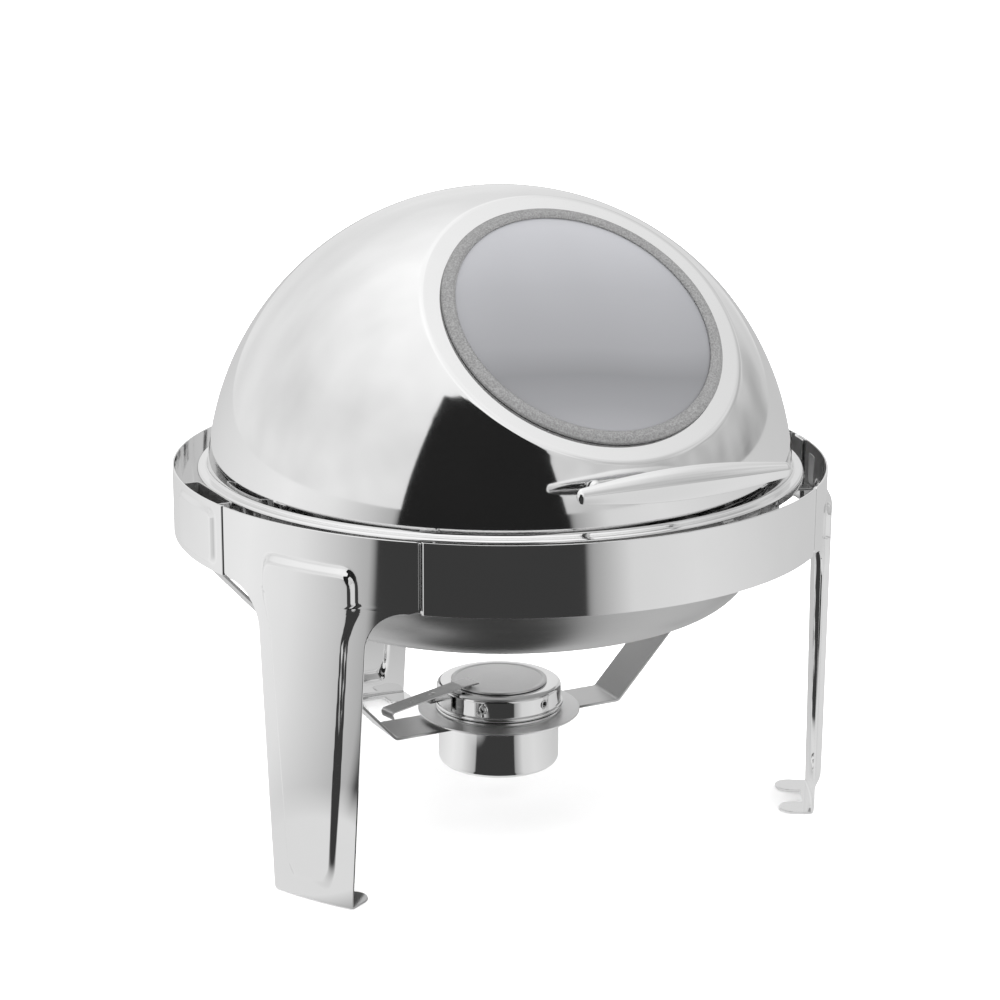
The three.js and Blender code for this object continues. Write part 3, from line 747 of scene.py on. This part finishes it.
gasket = [(90.6, 3.6), (90.6, 2.8), (94.1, 2.8), (94.1, -1.4), (91.2, -1.4), (91.2, -3.6), (99.3, -3.6),
          (99.3, -1.5), (96.8, -1.5), (96.8, 0.3), (99.8, 0.3), (99.8, 2.6), (96.6, 4.9), (92.6, 4.9)]
section = rounded([(r, window["plane"] + z) for r, z in gasket],
                  [0.8, 0.2, 0.2, 0.2, 0.4, 0.8, 0.8, 0.3, 0.2, 0.2, 0.4, 1.2, 2.4, 1.6], True, 5)
points, faces = lathe(section, 160)
piece("window_gasket_ring", toWindow(points), faces, "silicone", "lid", ["window_gasket"])
paneLow, paneTop = window["plane"] - 1.1, window["plane"] + 2.4
pane = rounded([(0, paneLow), (window["glass"], paneLow), (window["glass"], paneTop), (0, paneTop)],
               [0, 0.5, 0.5, 0], True, 4)
points, faces = lathe(pane, 160)
piece("window_glass_pane", toWindow(points), faces, "glass", "lid", ["window_glass"])

ear = {"x": 213, "radius": 11.6, "top": lipTop - dome["sheet"] - 0.8}
rows = [(ear["radius"], z) for z in np.linspace(ear["top"], 0, 6)]
rows += [(ear["radius"] * math.cos(a), -ear["radius"] * math.sin(a))
         for a in np.radians(np.linspace(0, 84, 13))[1:]]
points = [(ear["x"] + 1.5, half * t, z + pivotZ) for half, z in rows for t in np.linspace(-1, 1, 13)]
solid = sheetSolid(points, gridFaces(len(rows), 13), ring["sheet"])
for side, (p, f, n) in {"right": solid, "left": mirrored(*solid)}.items():
    piece(f"lid_ear_{side}_plate", p, f, "rolled", "lid", [f"lid_ear_{side}"], n)

handle = {"y": -252, "z": 298, "half": 79, "height": 10.7, "depth": 6.4, "tip": 4, "around": 64,
          "postX": 38, "postR": 4}
handleTilt = math.atan2(handle["z"] - pivotZ, -handle["y"])
handleRho = math.hypot(handle["y"], handle["z"] - pivotZ)


def handleMesh():
    shoulder = handle["half"] - handle["tip"]
    stations = [shoulder + handle["tip"] * math.sin(a) for a in np.radians(np.linspace(86, 8, 9))]
    stations += list(np.linspace(shoulder, -shoulder, 97))
    stations += [-s for s in reversed(stations[:9])]
    count = handle["around"]
    around = np.linspace(0, 2 * math.pi, count, endpoint=False)
    points = []
    for s in stations:
        swell = handle["tip"] + (handle["height"] - handle["tip"]) * math.cos(
            math.pi / 2 * min(abs(s), shoulder) / (shoulder * 1.1)) ** 0.95
        cap = math.sqrt(max(0, 1 - (max(0, abs(s) - shoulder) / handle["tip"]) ** 2))
        high, deep = swell * cap, swell * cap * handle["depth"] / handle["height"]
        for a in around:
            t = math.sin(a)
            front = (1 - abs(t) ** 1.55) ** 0.72 if math.cos(a) < 0 else math.sqrt(1 - t * t)
            points.append((s, math.copysign(front, math.cos(a)) * deep, t * high))
    faces = gridFaces(len(stations), count, loopColumns=True)
    total = len(points)
    c, s = math.cos(-handleTilt), math.sin(-handleTilt)
    turn = np.array([[1, 0, 0], [0, c, s], [0, -s, c]])
    points = np.array(points) @ turn + (0, handle["y"], handle["z"])
    for end in (list(range(count)), list(range(total - 1, total - count - 1, -1))):
        middle = len(points)
        points = np.vstack([points, points[end].mean(0)])
        faces += [(end[i], end[(i + 1) % count], middle) for i in range(count)]
    return points, faces


points, faces = handleMesh()
piece("lid_handle_grip", points, faces, "mirror", "lid", ["lid_handle"])


# Stands a lathe made along +Z on the line from the pivot's axis to one end of the handle.
def toPost(points, side):
    lean = math.pi / 2 - handleTilt
    c, s = math.cos(lean), math.sin(lean)
    turn = np.array([[1, 0, 0], [0, c, s], [0, -s, c]])
    return points @ turn + (side * handle["postX"], 0, pivotZ)


postTop = handleRho - handle["depth"] + 0.6
postLow = math.sqrt(dome["radius"] ** 2 - (handle["postX"] - handle["postR"]) ** 2) + 0.3
for name, side in {"left": -1, "right": 1}.items():
    wide, slim = handle["postR"] + 1.2, handle["postR"] - 0.4
    section = rounded([(0, postLow), (wide, postLow), (wide, postLow + 1.2), (slim, postLow + 4),
                       (slim, postTop), (0, postTop)], [0, 0.4, 0.8, 3, 0, 0], True, 6)
    points, faces = lathe(section, 40)
    piece(f"handle_post_{name}_stem", toPost(points, side), faces, "mirror", "lid",
          [f"handle_post_{name}"])
print("lid fittings made")


shelf = {"radius": 60, "hole": 45.1, "low": 66.3, "sheet": 1.5}
shelfTop = shelf["low"] + shelf["sheet"]
section = rounded([(shelf["hole"], shelf["low"]), (shelf["radius"], shelf["low"]),
                   (shelf["radius"], shelfTop), (shelf["hole"], shelfTop)], 0.5, True, 4)
points, faces = lathe(section, 128)
piece("burner_shelf_ring", points, faces, "coverSpun", "stand", ["burner_shelf"])

strap = {"width": 35.4, "sheet": 2, "low": 64, "bendX": 92, "innerX": 46.5, "topZ": 235.6,
         "slope": 47.5, "bend": 3.5}
hung = channel["x"] + 1.5 + gap + strap["sheet"]
rise = math.tan(math.radians(strap["slope"]))
path = rounded([(strap["innerX"], strap["low"]), (strap["bendX"], strap["low"]),
                (hung, strap["low"] + (hung - strap["bendX"]) * rise), (hung, strap["topZ"])],
               strap["bend"], False, 8)
for side in ("right", "left"):
    bentSheet(f"strap_{side}_strip", path, strap["width"], lambda u, w, t: (u, t, w), strap["sheet"],
              "rolled", "stand", [f"strap_{side}"], flip=True, mirror=side == "left")

cup = {"radius": 44.5, "low": 26.5, "sheet": 1.2, "corner": 5, "bead": 2.4, "lip": 85}
beadLow, beadR = shelfTop + gap, cup["radius"] + cup["bead"]
cupIn, cupFloor = cup["radius"] - cup["sheet"], cup["low"] + cup["sheet"]
section = rounded([
    (0, cup["low"]), (cup["radius"], cup["low"]), (cup["radius"], beadLow), (beadR, beadLow + 0.5),
    (beadR, beadLow + 2.1), (cup["radius"], beadLow + 2.6), (cup["radius"], cup["lip"]),
    (cupIn, cup["lip"]), (cupIn, cupFloor), (0, cupFloor)],
    [0, cup["corner"], 0.3, 0.8, 0.8, 0.3, 0.5, 0.5, 4, 0], True, 8)
points, faces = lathe(section, 144)
piece("burner_cup_shell", points, faces, "mirror", "burner", ["burner_cup"])

cap = {"radius": 46, "low": 71, "top": 88.3, "mouth": 33, "bead": 1.6, "sheet": 1.2}
capIn, capUnder = cap["radius"] - cap["sheet"], cap["top"] - cap["sheet"]
capBead = cap["radius"] + cap["bead"]
section = rounded([
    (capIn, cap["low"]), (cap["radius"], cap["low"]), (capBead, cap["low"] + 0.5),
    (capBead, cap["low"] + 2.8), (cap["radius"], cap["low"] + 3.4), (cap["radius"], cap["top"]),
    (cap["mouth"], cap["top"]), (cap["mouth"], capUnder), (capIn, capUnder)],
    [0.3, 0.4, 1.2, 1.4, 0.6, 3, 0.4, 0.4, 2], True, 8)
points, faces = lathe(section, 144)
capShell = (points, faces)

cover = {"radius": 35.5, "low": 88.6, "sheet": 1.5, "bearing": -80}
coverTop = cover["low"] + cover["sheet"]
section = rounded([(0, cover["low"]), (cover["radius"], cover["low"]), (cover["radius"], coverTop),
                   (cover["radius"] - 2.4, coverTop), (cover["radius"] - 3.6, coverTop - 0.35),
                   (0, coverTop - 0.35)], [0, 0.5, 0.6, 0.6, 0.6, 0], True, 5)
points, faces = lathe(section, 128)
piece("burner_cover_disc", points, faces, "coverSpun", "cover", ["burner_cover"])

coverStrip = {"width": 13.2, "sheet": 1.2, "from": 24, "flatTo": 38, "to": 101, "fall": 6.4, "lip": 4}
stripTop = coverTop + gap + coverStrip["sheet"]
slope = coverStrip["fall"] / (coverStrip["to"] - coverStrip["flatTo"])
endTop = stripTop - coverStrip["fall"]
path = rounded([(coverStrip["from"], stripTop), (coverStrip["flatTo"], stripTop),
                (coverStrip["to"], endTop), (coverStrip["to"] - 1.5, endTop - coverStrip["lip"])],
               1.6, False, 6)
bentSheet("cover_strip_handle", path, coverStrip["width"], outward, coverStrip["sheet"], "plain",
          "cover", ["cover_strip"], cover["bearing"])

tab = {"pivotR": 61, "width": 12, "sheet": 1.2, "beyond": 6}
stripAt = lambda r: stripTop - max(0, r - coverStrip["flatTo"]) * slope
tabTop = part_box("cover_bracket")[1].z / mm
path = rounded([(cap["radius"] + gap + tab["sheet"], cap["low"] + 5), (cap["radius"] + 1.5, tabTop),
                (tab["pivotR"] + tab["beyond"], tabTop)], 1.4, False, 6)
bentSheet("cover_bracket_tab", path, tab["width"], outward, tab["sheet"], "plain", "burner",
          ["cover_bracket"], cover["bearing"], flip=True)
print("burner made")


# Fasteners: one turned shape on every marked point. Each outline point is (share of head radius,
# share of shank radius, share of head height, share of shank length).
outlines = {
    "domed": [(0, 0, 1, 0), (0.35, 0, 0.97, 0), (0.66, 0, 0.82, 0), (0.88, 0, 0.52, 0),
              (0.98, 0, 0.22, 0), (1, 0, 0, 0), (0, 1, 0, 0), (0, 1, 0, -1), (0, 0, 0, -1)],
    "flat": [(0, 0, 1, 0), (0.86, 0, 1, 0), (0.95, 0, 0.94, 0), (1, 0, 0.78, 0), (1, 0, 0.2, 0),
             (0.96, 0, 0, 0), (0, 1, 0, 0), (0, 1, 0, -1), (0, 0, 0, -1)],
    "eyelet": [(0, 1, 0, 0), (0.1, 0.9, 0.7, 0), (0.35, 0.65, 1, 0), (0.7, 0.3, 0.8, 0), (1, 0, 0, 0),
               (0.9, 0.1, -0.2, 0), (0.5, 0.5, -0.2, 0), (0.1, 0.9, -0.2, 0), (0, 1, 0, 0)],
}


# A geometry tree with named inputs. Gives the tree, its nodes and its inputs.
def newTree(name, inputs):
    tree = bpy.data.node_groups.new(name, "GeometryNodeTree")
    sockets = tree.interface
    sockets.new_socket("Geometry", in_out="INPUT", socket_type="NodeSocketGeometry")
    for key, kind, value in inputs:
        socket = sockets.new_socket(key, in_out="INPUT", socket_type="NodeSocket" + kind)
        if value is not None:
            socket.default_value = value
    sockets.new_socket("Geometry", in_out="OUTPUT", socket_type="NodeSocketGeometry")
    nodes = Nodes(tree)
    return tree, nodes, nodes.add("NodeGroupInput", out=["Geometry"] + [key for key, _, _ in inputs])


# Runs a tree on a mesh and gives the result as a plain mesh.
def grown(name, mesh, tree, values):
    holder = bpy.data.objects.new(name, mesh)
    bpy.context.scene.collection.objects.link(holder)
    modifier = holder.modifiers.new(name, "NODES")
    modifier.node_group = tree
    sockets = {item.name: item.identifier for item in tree.interface.items_tree
               if item.in_out == "INPUT"}
    for key, value in values.items():
        modifier[sockets[key]] = value
    evaluated = holder.evaluated_get(bpy.context.evaluated_depsgraph_get())
    made = bpy.data.meshes.new_from_object(evaluated)
    holder.modifiers.remove(modifier)
    bpy.data.objects.remove(holder)
    return made


def fastenerTree(outline):
    tree, nodes, inputs = newTree("fastenerOn_" + outline, [
        ("Head radius", "Float", 0.004), ("Head height", "Float", 0.001),
        ("Shank radius", "Float", 0.002), ("Shank length", "Float", 0.004), ("Sides", "Int", 24),
        ("Finish", "Material", None)])
    points, headR, headH, shankR, length, sides, finish = inputs
    rows = outlines[outline]
    grid = nodes.add("GeometryNodeMeshGrid", {}, {
        "Size X": 1.0, "Size Y": 1.0, "Vertices X": sides + 1, "Vertices Y": len(rows)}, out="Mesh")
    x, y = nodes.add("ShaderNodeSeparateXYZ", {}, {0: nodes.add("GeometryNodeInputPosition")}, out=[0, 1])
    along = y + 0.5

    def share(column):
        values = [row[column] for row in rows]
        low, high = min(values), max(values)
        span = (high - low) or 1
        curve = [(i / (len(rows) - 1), (value - low) / span) for i, value in enumerate(values)]
        return nodes.add("ShaderNodeFloatCurve", {"curve": curve}, {"Value": along}) * (high - low) + low

    radius = share(0) * headR + share(1) * shankR
    height = share(2) * headH + share(3) * length
    angle = (x + 0.5) * (2 * math.pi)
    shape = nodes.add("ShaderNodeCombineXYZ", {}, {
        0: radius * angle.maths("COSINE", angle), 1: radius * angle.maths("SINE", angle), 2: height})
    moved = nodes.add("GeometryNodeSetPosition", {}, {"Geometry": grid, "Position": shape})
    closed = nodes.add("GeometryNodeMergeByDistance", {}, {"Geometry": moved, "Distance": 0.00001})
    aimed = nodes.add("GeometryNodeInputNamedAttribute", {"data_type": "FLOAT_VECTOR"}, {"Name": "aim"})
    turn = nodes.add("FunctionNodeAlignRotationToVector", {"axis": "Z"}, {"Vector": aimed})
    spread = nodes.add("GeometryNodeInstanceOnPoints", {}, {
        "Points": points, "Instance": closed, "Rotation": turn})
    real = nodes.add("GeometryNodeRealizeInstances", {}, {0: spread})
    done = nodes.add("GeometryNodeSetMaterial", {}, {"Geometry": real, "Material": finish})
    nodes.add("NodeGroupOutput", {}, {"Geometry": done})
    return tree


fastenerTrees = {name: fastenerTree(name) for name in outlines}


# Each spot is (x, y, z) in millimetres with the direction that the head faces.
def fasteners(name, outline, spots, sizes, look, body, replaced=()):
    mesh = bpy.data.meshes.new(name + "_points")
    mesh.from_pydata([(x * mm, (y + axisY) * mm, z * mm) for (x, y, z), _ in spots], [], [])
    mesh.attributes.new("aim", "FLOAT_VECTOR", "POINT").data.foreach_set(
        "vector", [value for _, way in spots for value in way])
    values = {key: value if key == "Sides" else value * mm for key, value in sizes.items()}
    made = grown(name + "_holder", mesh, fastenerTrees[outline], {**values, "Finish": looks[look]})
    points = np.array([vertex.co for vertex in made.vertices]) / mm - (0, axisY, 0)
    faces = facedOut(points, [tuple(face.vertices) for face in made.polygons])
    bpy.data.meshes.remove(made)
    return piece(name, points, faces, look, body, replaced)


def pairSpots(x, yz, way):
    return [((side * x, y, z), (side * way, 0, 0)) for side in (-1, 1) for y, z in yz]


def headSizes(radius, height, shank, length, sides):
    return {"Head radius": radius, "Head height": height, "Shank radius": shank,
            "Shank length": length, "Sides": sides}


# Where each one sits: its distance from the middle, and the side its head faces.
pivotX = {"pin": 212.5, "nut": 222.4, "washer": 214.95}
pin, nut = headSizes(6.5, 2.2, 3, 15, 40), headSizes(5.5, 4.3, 3.2, 0.3, 6)
washer = headSizes(6.9, 4.9, 3.4, 0.2, 40)
fasteners("pivot_pins", "domed", pairSpots(pivotX["pin"], [(0, pivotZ)], -1), pin, "plain", "stand",
          ["pivot_pin_left", "pivot_pin_right"])
fasteners("pivot_nuts", "flat", pairSpots(pivotX["nut"], [(0, pivotZ)], 1), nut, "plain", "stand",
          ["pivot_nut_left", "pivot_nut_right"])
fasteners("pivot_washers", "flat", pairSpots(pivotX["washer"], [(0, pivotZ)], 1), washer, "nylon",
          "stand", ["pivot_washer_left", "pivot_washer_right"])

strapRivet = {"outerX": 224.6, "innerX": 220.2, "spots": [(-10, 225), (10, 225)]}
fasteners("strap_rivets_outer", "domed", pairSpots(strapRivet["outerX"], strapRivet["spots"], 1),
          headSizes(3.4, 1.6, 2, 2.4, 28), "plain", "stand",
          ["strap_rivet_front_left", "strap_rivet_front_right", "strap_rivet_rear_left",
           "strap_rivet_rear_right"])
fasteners("strap_rivets_inner", "domed", pairSpots(strapRivet["innerX"], strapRivet["spots"], -1),
          headSizes(3.4, 0.9, 2, 2.0, 28), "plain", "stand")


def atCover(r, z):
    b = math.radians(cover["bearing"])
    return (r * math.sin(b), -r * math.cos(b), z)


fasteners("cover_rivets", "domed", [(atCover(r, stripTop + 0.05), (0, 0, 1)) for r in (27, 33)],
          headSizes(2.4, 0.9, 1.2, 1.6, 24), "plain", "cover",
          ["cover_rivet_inner", "cover_rivet_outer"])
turnTop, turnLow = stripAt(tab["pivotR"]) + 0.5, tabTop - 1.5
fasteners("cover_turn_rivet", "domed", [(atCover(tab["pivotR"], turnTop), (0, 0, 1)),
                                        (atCover(tab["pivotR"], turnLow), (0, 0, -1))],
          headSizes(3, 1.2, 1.8, (turnTop - turnLow) / 2, 28), "plain", "burner",
          ["cover_pivot_rivet"])

headAt = math.sqrt((dome["radius"] - dome["sheet"]) ** 2 - (handle["postX"] + 4.5) ** 2) - 1.2
screwWay = (0, math.cos(handleTilt), -math.sin(handleTilt))
screwSpots = [(tuple(toPost(np.array([[0, 0, headAt]]), side)[0]), screwWay) for side in (-1, 1)]
fasteners("handle_screws", "domed", screwSpots, headSizes(4.5, 2.6, 2, 14, 32), "plain", "lid",
          ["handle_screw_left", "handle_screw_right"])

weld = {"radius": 231.75, "past": 1.4, "heights": (223, 247)}
weldSpots = []
for middle in leg["bearings"].values():
    for side in (-1, 1):
        b = math.radians(middle + side * (seam["halfLeg"] + weld["past"]))
        for z in weld["heights"]:
            weldSpots.append(((weld["radius"] * math.sin(b), -weld["radius"] * math.cos(b), z),
                              (-math.sin(b), math.cos(b), 0)))
fasteners("ring_weld_dots", "domed", weldSpots, headSizes(2.6, 0.25, 2.0, 0.1, 20), "mirror", "stand")


# The cap's vents are cut by a ring of cutters, and each has an eyelet. first is an angle from +X.
vents = {"count": 6, "radius": 2.2, "height": 80.7, "first": -72, "eyeletR": 46.05}


def ventTree():
    tree, nodes, inputs = newTree("ventCutter", [
        ("Count", "Int", 6), ("Hole radius", "Float", 0.002), ("Ring radius", "Float", 0.046),
        ("Height", "Float", 0.08), ("First", "Float", 0.0), ("Centre", "Vector", None),
        ("Finish", "Material", None)])
    shell, count, hole, radius, height, first, centre, finish = inputs
    circle = nodes.add("GeometryNodeMeshCircle", {}, {"Vertices": count, "Radius": radius})
    lift = nodes.add("ShaderNodeCombineXYZ", {}, {0: 0.0, 1: 0.0, 2: height})
    place = nodes.add("ShaderNodeVectorMath", {"operation": "ADD"}, {0: lift, 1: centre})
    turn = nodes.add("ShaderNodeCombineXYZ", {}, {0: 0.0, 1: 0.0, 2: first})
    spots = nodes.add("GeometryNodeTransform", {}, {
        "Geometry": circle, "Translation": place, "Rotation": turn})
    away = nodes.add("ShaderNodeVectorMath", {"operation": "SUBTRACT"}, {
        0: nodes.add("GeometryNodeInputPosition"), 1: place})
    cutter = nodes.add("GeometryNodeMeshCylinder", {}, {
        "Vertices": 28, "Radius": hole, "Depth": 0.014}, out="Mesh")
    aimed = nodes.add("FunctionNodeAlignRotationToVector", {"axis": "Z"}, {"Vector": away})
    cutters = nodes.add("GeometryNodeInstanceOnPoints", {}, {
        "Points": spots, "Instance": cutter, "Rotation": aimed})
    real = nodes.add("GeometryNodeRealizeInstances", {}, {0: cutters})
    cut = nodes.add("GeometryNodeMeshBoolean", {"operation": "DIFFERENCE"}, {0: shell, 1: real})
    done = nodes.add("GeometryNodeSetMaterial", {}, {"Geometry": cut, "Material": finish})
    nodes.add("NodeGroupOutput", {}, {"Geometry": done})
    return tree


def ventedCap():
    points, faces = capShell
    mesh = bpy.data.meshes.new("capBlank")
    mesh.from_pydata(((points + (0, axisY, 0)) * mm).tolist(), [], facedOut(points, faces))
    made = grown("capHolder", mesh, ventTree(), {
        "Count": vents["count"], "Hole radius": vents["radius"] * mm,
        "Ring radius": (cap["radius"] - 0.6) * mm, "Height": vents["height"] * mm,
        "First": math.radians(vents["first"]), "Centre": (0, axisY * mm, 0),
        "Finish": looks["mirror"]})
    made.name = "burner_cap_shell"
    done = bpy.data.objects.new("burner_cap_shell", made)
    bpy.context.scene.collection.objects.link(done)
    made.materials.clear()
    made.materials.append(looks["mirror"])
    made.shade_smooth()
    made.set_sharp_from_angle(angle=math.radians(40))
    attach(done, "burner")
    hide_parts("burner_cap")


ventedCap()
eyeSpots = []
for i in range(vents["count"]):
    a = math.radians(vents["first"] + i * 360 / vents["count"])
    way = (math.cos(a), math.sin(a), 0)
    eyeSpots.append(((vents["eyeletR"] * way[0], vents["eyeletR"] * way[1], vents["height"]), way))
fasteners("cap_eyelets", "eyelet", eyeSpots, headSizes(3.4, 0.6, 2.1, 0.1, 28), "mirror", "burner")
print("fasteners and vents made")


# The studio. Cards that only reflections see give the steel its dark and light bands.
studio = {"background": 1.15, "fill": 2.65, "floorTone": 0.96, "cardNear": 0.055, "cardFar": 2.5,
          "cardEdge": 40, "wallTone": 0.016, "cardFrom": -37, "cardTo": 25.5, "viewBearing": -27.8,
          "cardTop": 45, "above": 0.82, "topGlow": 0.55, "rightShade": 0.34, "blotch": 0.3,
          "rightBlotch": 0.75}
# The floor in front of the leg on the left stays light, whatever lies beyond it.
lightSpot = {"at": (0.234, -0.197), "radius": 0.135, "edge": 16, "tone": 0.8}
# How light the floor looks in the steel, by the bearing from the view's own, in degrees.
floorTones = [(-180, 0.55), (-125, 0.8), (-85, 0.93), (-64, 0.84), (-48, 0.62), (-38.5, 0.46),
              (-37, 0.045), (25.5, 0.045), (27, 0.36), (40, 0.74), (62, 0.80), (114, 0.66), (180, 0.55)]


def plainMaterial(name, colour):
    made = bpy.data.materials.new(name)
    made.use_nodes = True
    shader = made.node_tree.nodes["Principled BSDF"]
    shader.inputs["Base Color"].default_value = colour
    shader.inputs["Roughness"].default_value = 0.9
    shader.inputs["Specular IOR Level"].default_value = 0.0
    return made


def glowMaterial(name, build):
    made = bpy.data.materials.new(name)
    made.use_nodes = True
    made.node_tree.nodes.clear()
    nodes = Nodes(made.node_tree)
    glow = nodes.add("ShaderNodeEmission", {}, {"Color": build(nodes)})
    nodes.add("ShaderNodeOutputMaterial", {}, {"Surface": glow})
    return made


def floorGlow(nodes):
    place = nodes.add("ShaderNodeTexCoord", out="Object")
    spot = nodes.add("ShaderNodeMapping", {}, {
        "Vector": place, "Rotation": (0, 0, math.radians(90 - studio["viewBearing"]))})
    bearing = nodes.add("ShaderNodeTexGradient", {"gradient_type": "RADIAL"}, {"Vector": spot})
    stops = [(0.5 + angle / 360, grey(tone)) for angle, tone in floorTones]
    tone = nodes.add("ShaderNodeValToRGB", {"stops": stops}, {"Fac": bearing}, out="Color")
    x, y = nodes.add("ShaderNodeSeparateXYZ", {}, {0: spot}, out=["X", "Y"])
    across, along = x - lightSpot["at"][0], y - lightSpot["at"][1]
    squared = across * across + along * along
    near = (squared.maths("SQRT", squared) * -1 + lightSpot["radius"]) * lightSpot["edge"]
    near = near.maths("MINIMUM", near.maths("MAXIMUM", near, 0.0), 1.0)
    return colours(nodes, near, tone, grey(lightSpot["tone"]))


def stagePiece(name, points, faces, look, onlyGlossy=False):
    mesh = bpy.data.meshes.new(name)
    mesh.from_pydata([tuple(point) for point in points], [], faces)
    mesh.materials.append(look)
    made = bpy.data.objects.new(name, mesh)
    made.location = (0, axisY * mm, 0)
    bpy.context.scene.collection.objects.link(made)
    if onlyGlossy:
        made.visible_camera = made.visible_diffuse = made.visible_shadow = False
        made.visible_transmission = False
    return made


def bearingPoint(bearing, radius, z):
    b = math.radians(bearing)
    return (radius * math.sin(b), -radius * math.cos(b), z)


floorLook = plainMaterial("paleFloor", grey(studio["floorTone"]))
around = [bearingPoint(b, 7.0, -0.0005) for b in range(0, 360, 5)]
floor = stagePiece("floor", around, [tuple(range(len(around)))], floorLook)
floor.visible_glossy = False
cardRings = (studio["cardNear"], studio["cardFar"], studio["cardEdge"])
cardPoints = [bearingPoint(b, r, 0.0005) for r in cardRings for b in range(0, 360, 4)]
stagePiece("floorCard", cardPoints, gridFaces(3, 90, loopColumns=True),
           glowMaterial("floorGlow", floorGlow), True)
wallPoints = []
for height in np.linspace(0, 1, 13):
    elevation = math.radians(studio["cardTop"] * height)
    low, high = studio["cardFrom"] + 10 * height, studio["cardTo"] - 12 * height
    for a in np.linspace(low, high, 25):
        wallPoints.append(bearingPoint(studio["viewBearing"] + a, studio["cardFar"],
                                       studio["cardFar"] * math.tan(elevation)))
wallLook = glowMaterial("wallGlow", lambda nodes: grey(studio["wallTone"]))
stagePiece("darkWallCard", wallPoints, gridFaces(13, 25), wallLook, True)

world = bpy.data.worlds.new("studioWorld")
bpy.context.scene.world = world
world.use_nodes = True
world.node_tree.nodes.clear()
sky = Nodes(world.node_tree)
way = sky.add("ShaderNodeTexCoord", out="Generated")
x, y, z = sky.add("ShaderNodeSeparateXYZ", {}, {0: way}, out=["X", "Y", "Z"])
rightBearing = math.radians(studio["viewBearing"] + 90)
toRight = x * math.sin(rightBearing) - y * math.cos(rightBearing)
toRight = toRight.maths("MAXIMUM", toRight, 0.0)
cloud = sky.add("ShaderNodeTexNoise", {}, {"Vector": way, "Scale": 2.4, "Detail": 2.0})
overhead = z - 0.45
overhead = overhead.maths("MAXIMUM", overhead, 0.0) * studio["topGlow"]
uneven = (cloud - 0.5) * (toRight * studio["rightBlotch"] + studio["blotch"])
seen = uneven - toRight * studio["rightShade"] + overhead + studio["above"]
toCamera, toDiffuse = sky.add("ShaderNodeLightPath", out=["Is Camera Ray", "Is Diffuse Ray"])
strength = (toCamera * studio["background"] + toDiffuse * studio["fill"]
            + (toCamera + toDiffuse) * seen * -1 + seen)
back = sky.add("ShaderNodeBackground", {}, {"Color": grey(1.0), "Strength": strength})
sky.add("ShaderNodeOutputWorld", {}, {"Surface": back})
bpy.context.scene.view_settings.view_transform = "Standard"
bpy.context.scene.view_settings.look = "None"

shot = {"lens": 89.15, "place": (-0.8092, -1.5348, 0.6936), "heading": (0.4664, 0.8846),
        "pitch": 15.083, "roll": 0.323}
camera = bpy.data.objects.new("camera", bpy.data.cameras.new("camera"))
camera.data.lens = shot["lens"]
camera.data.sensor_width = 36
bpy.context.scene.collection.objects.link(camera)
pitch = math.radians(shot["pitch"])
level = math.hypot(*shot["heading"])
right, ahead = (value / level * math.cos(pitch) for value in shot["heading"])
forward = Vector((right, ahead, -math.sin(pitch)))
turnTo = forward.to_track_quat("-Z", "Y").to_matrix().to_4x4()
place = Vector(shot["place"]) + Vector((0, axisY * mm, 0))
roll = Matrix.Rotation(math.radians(shot["roll"]), 4, "Z")
camera.matrix_world = Matrix.Translation(place) @ turnTo @ roll
bpy.context.scene.camera = camera
print("studio and camera made")
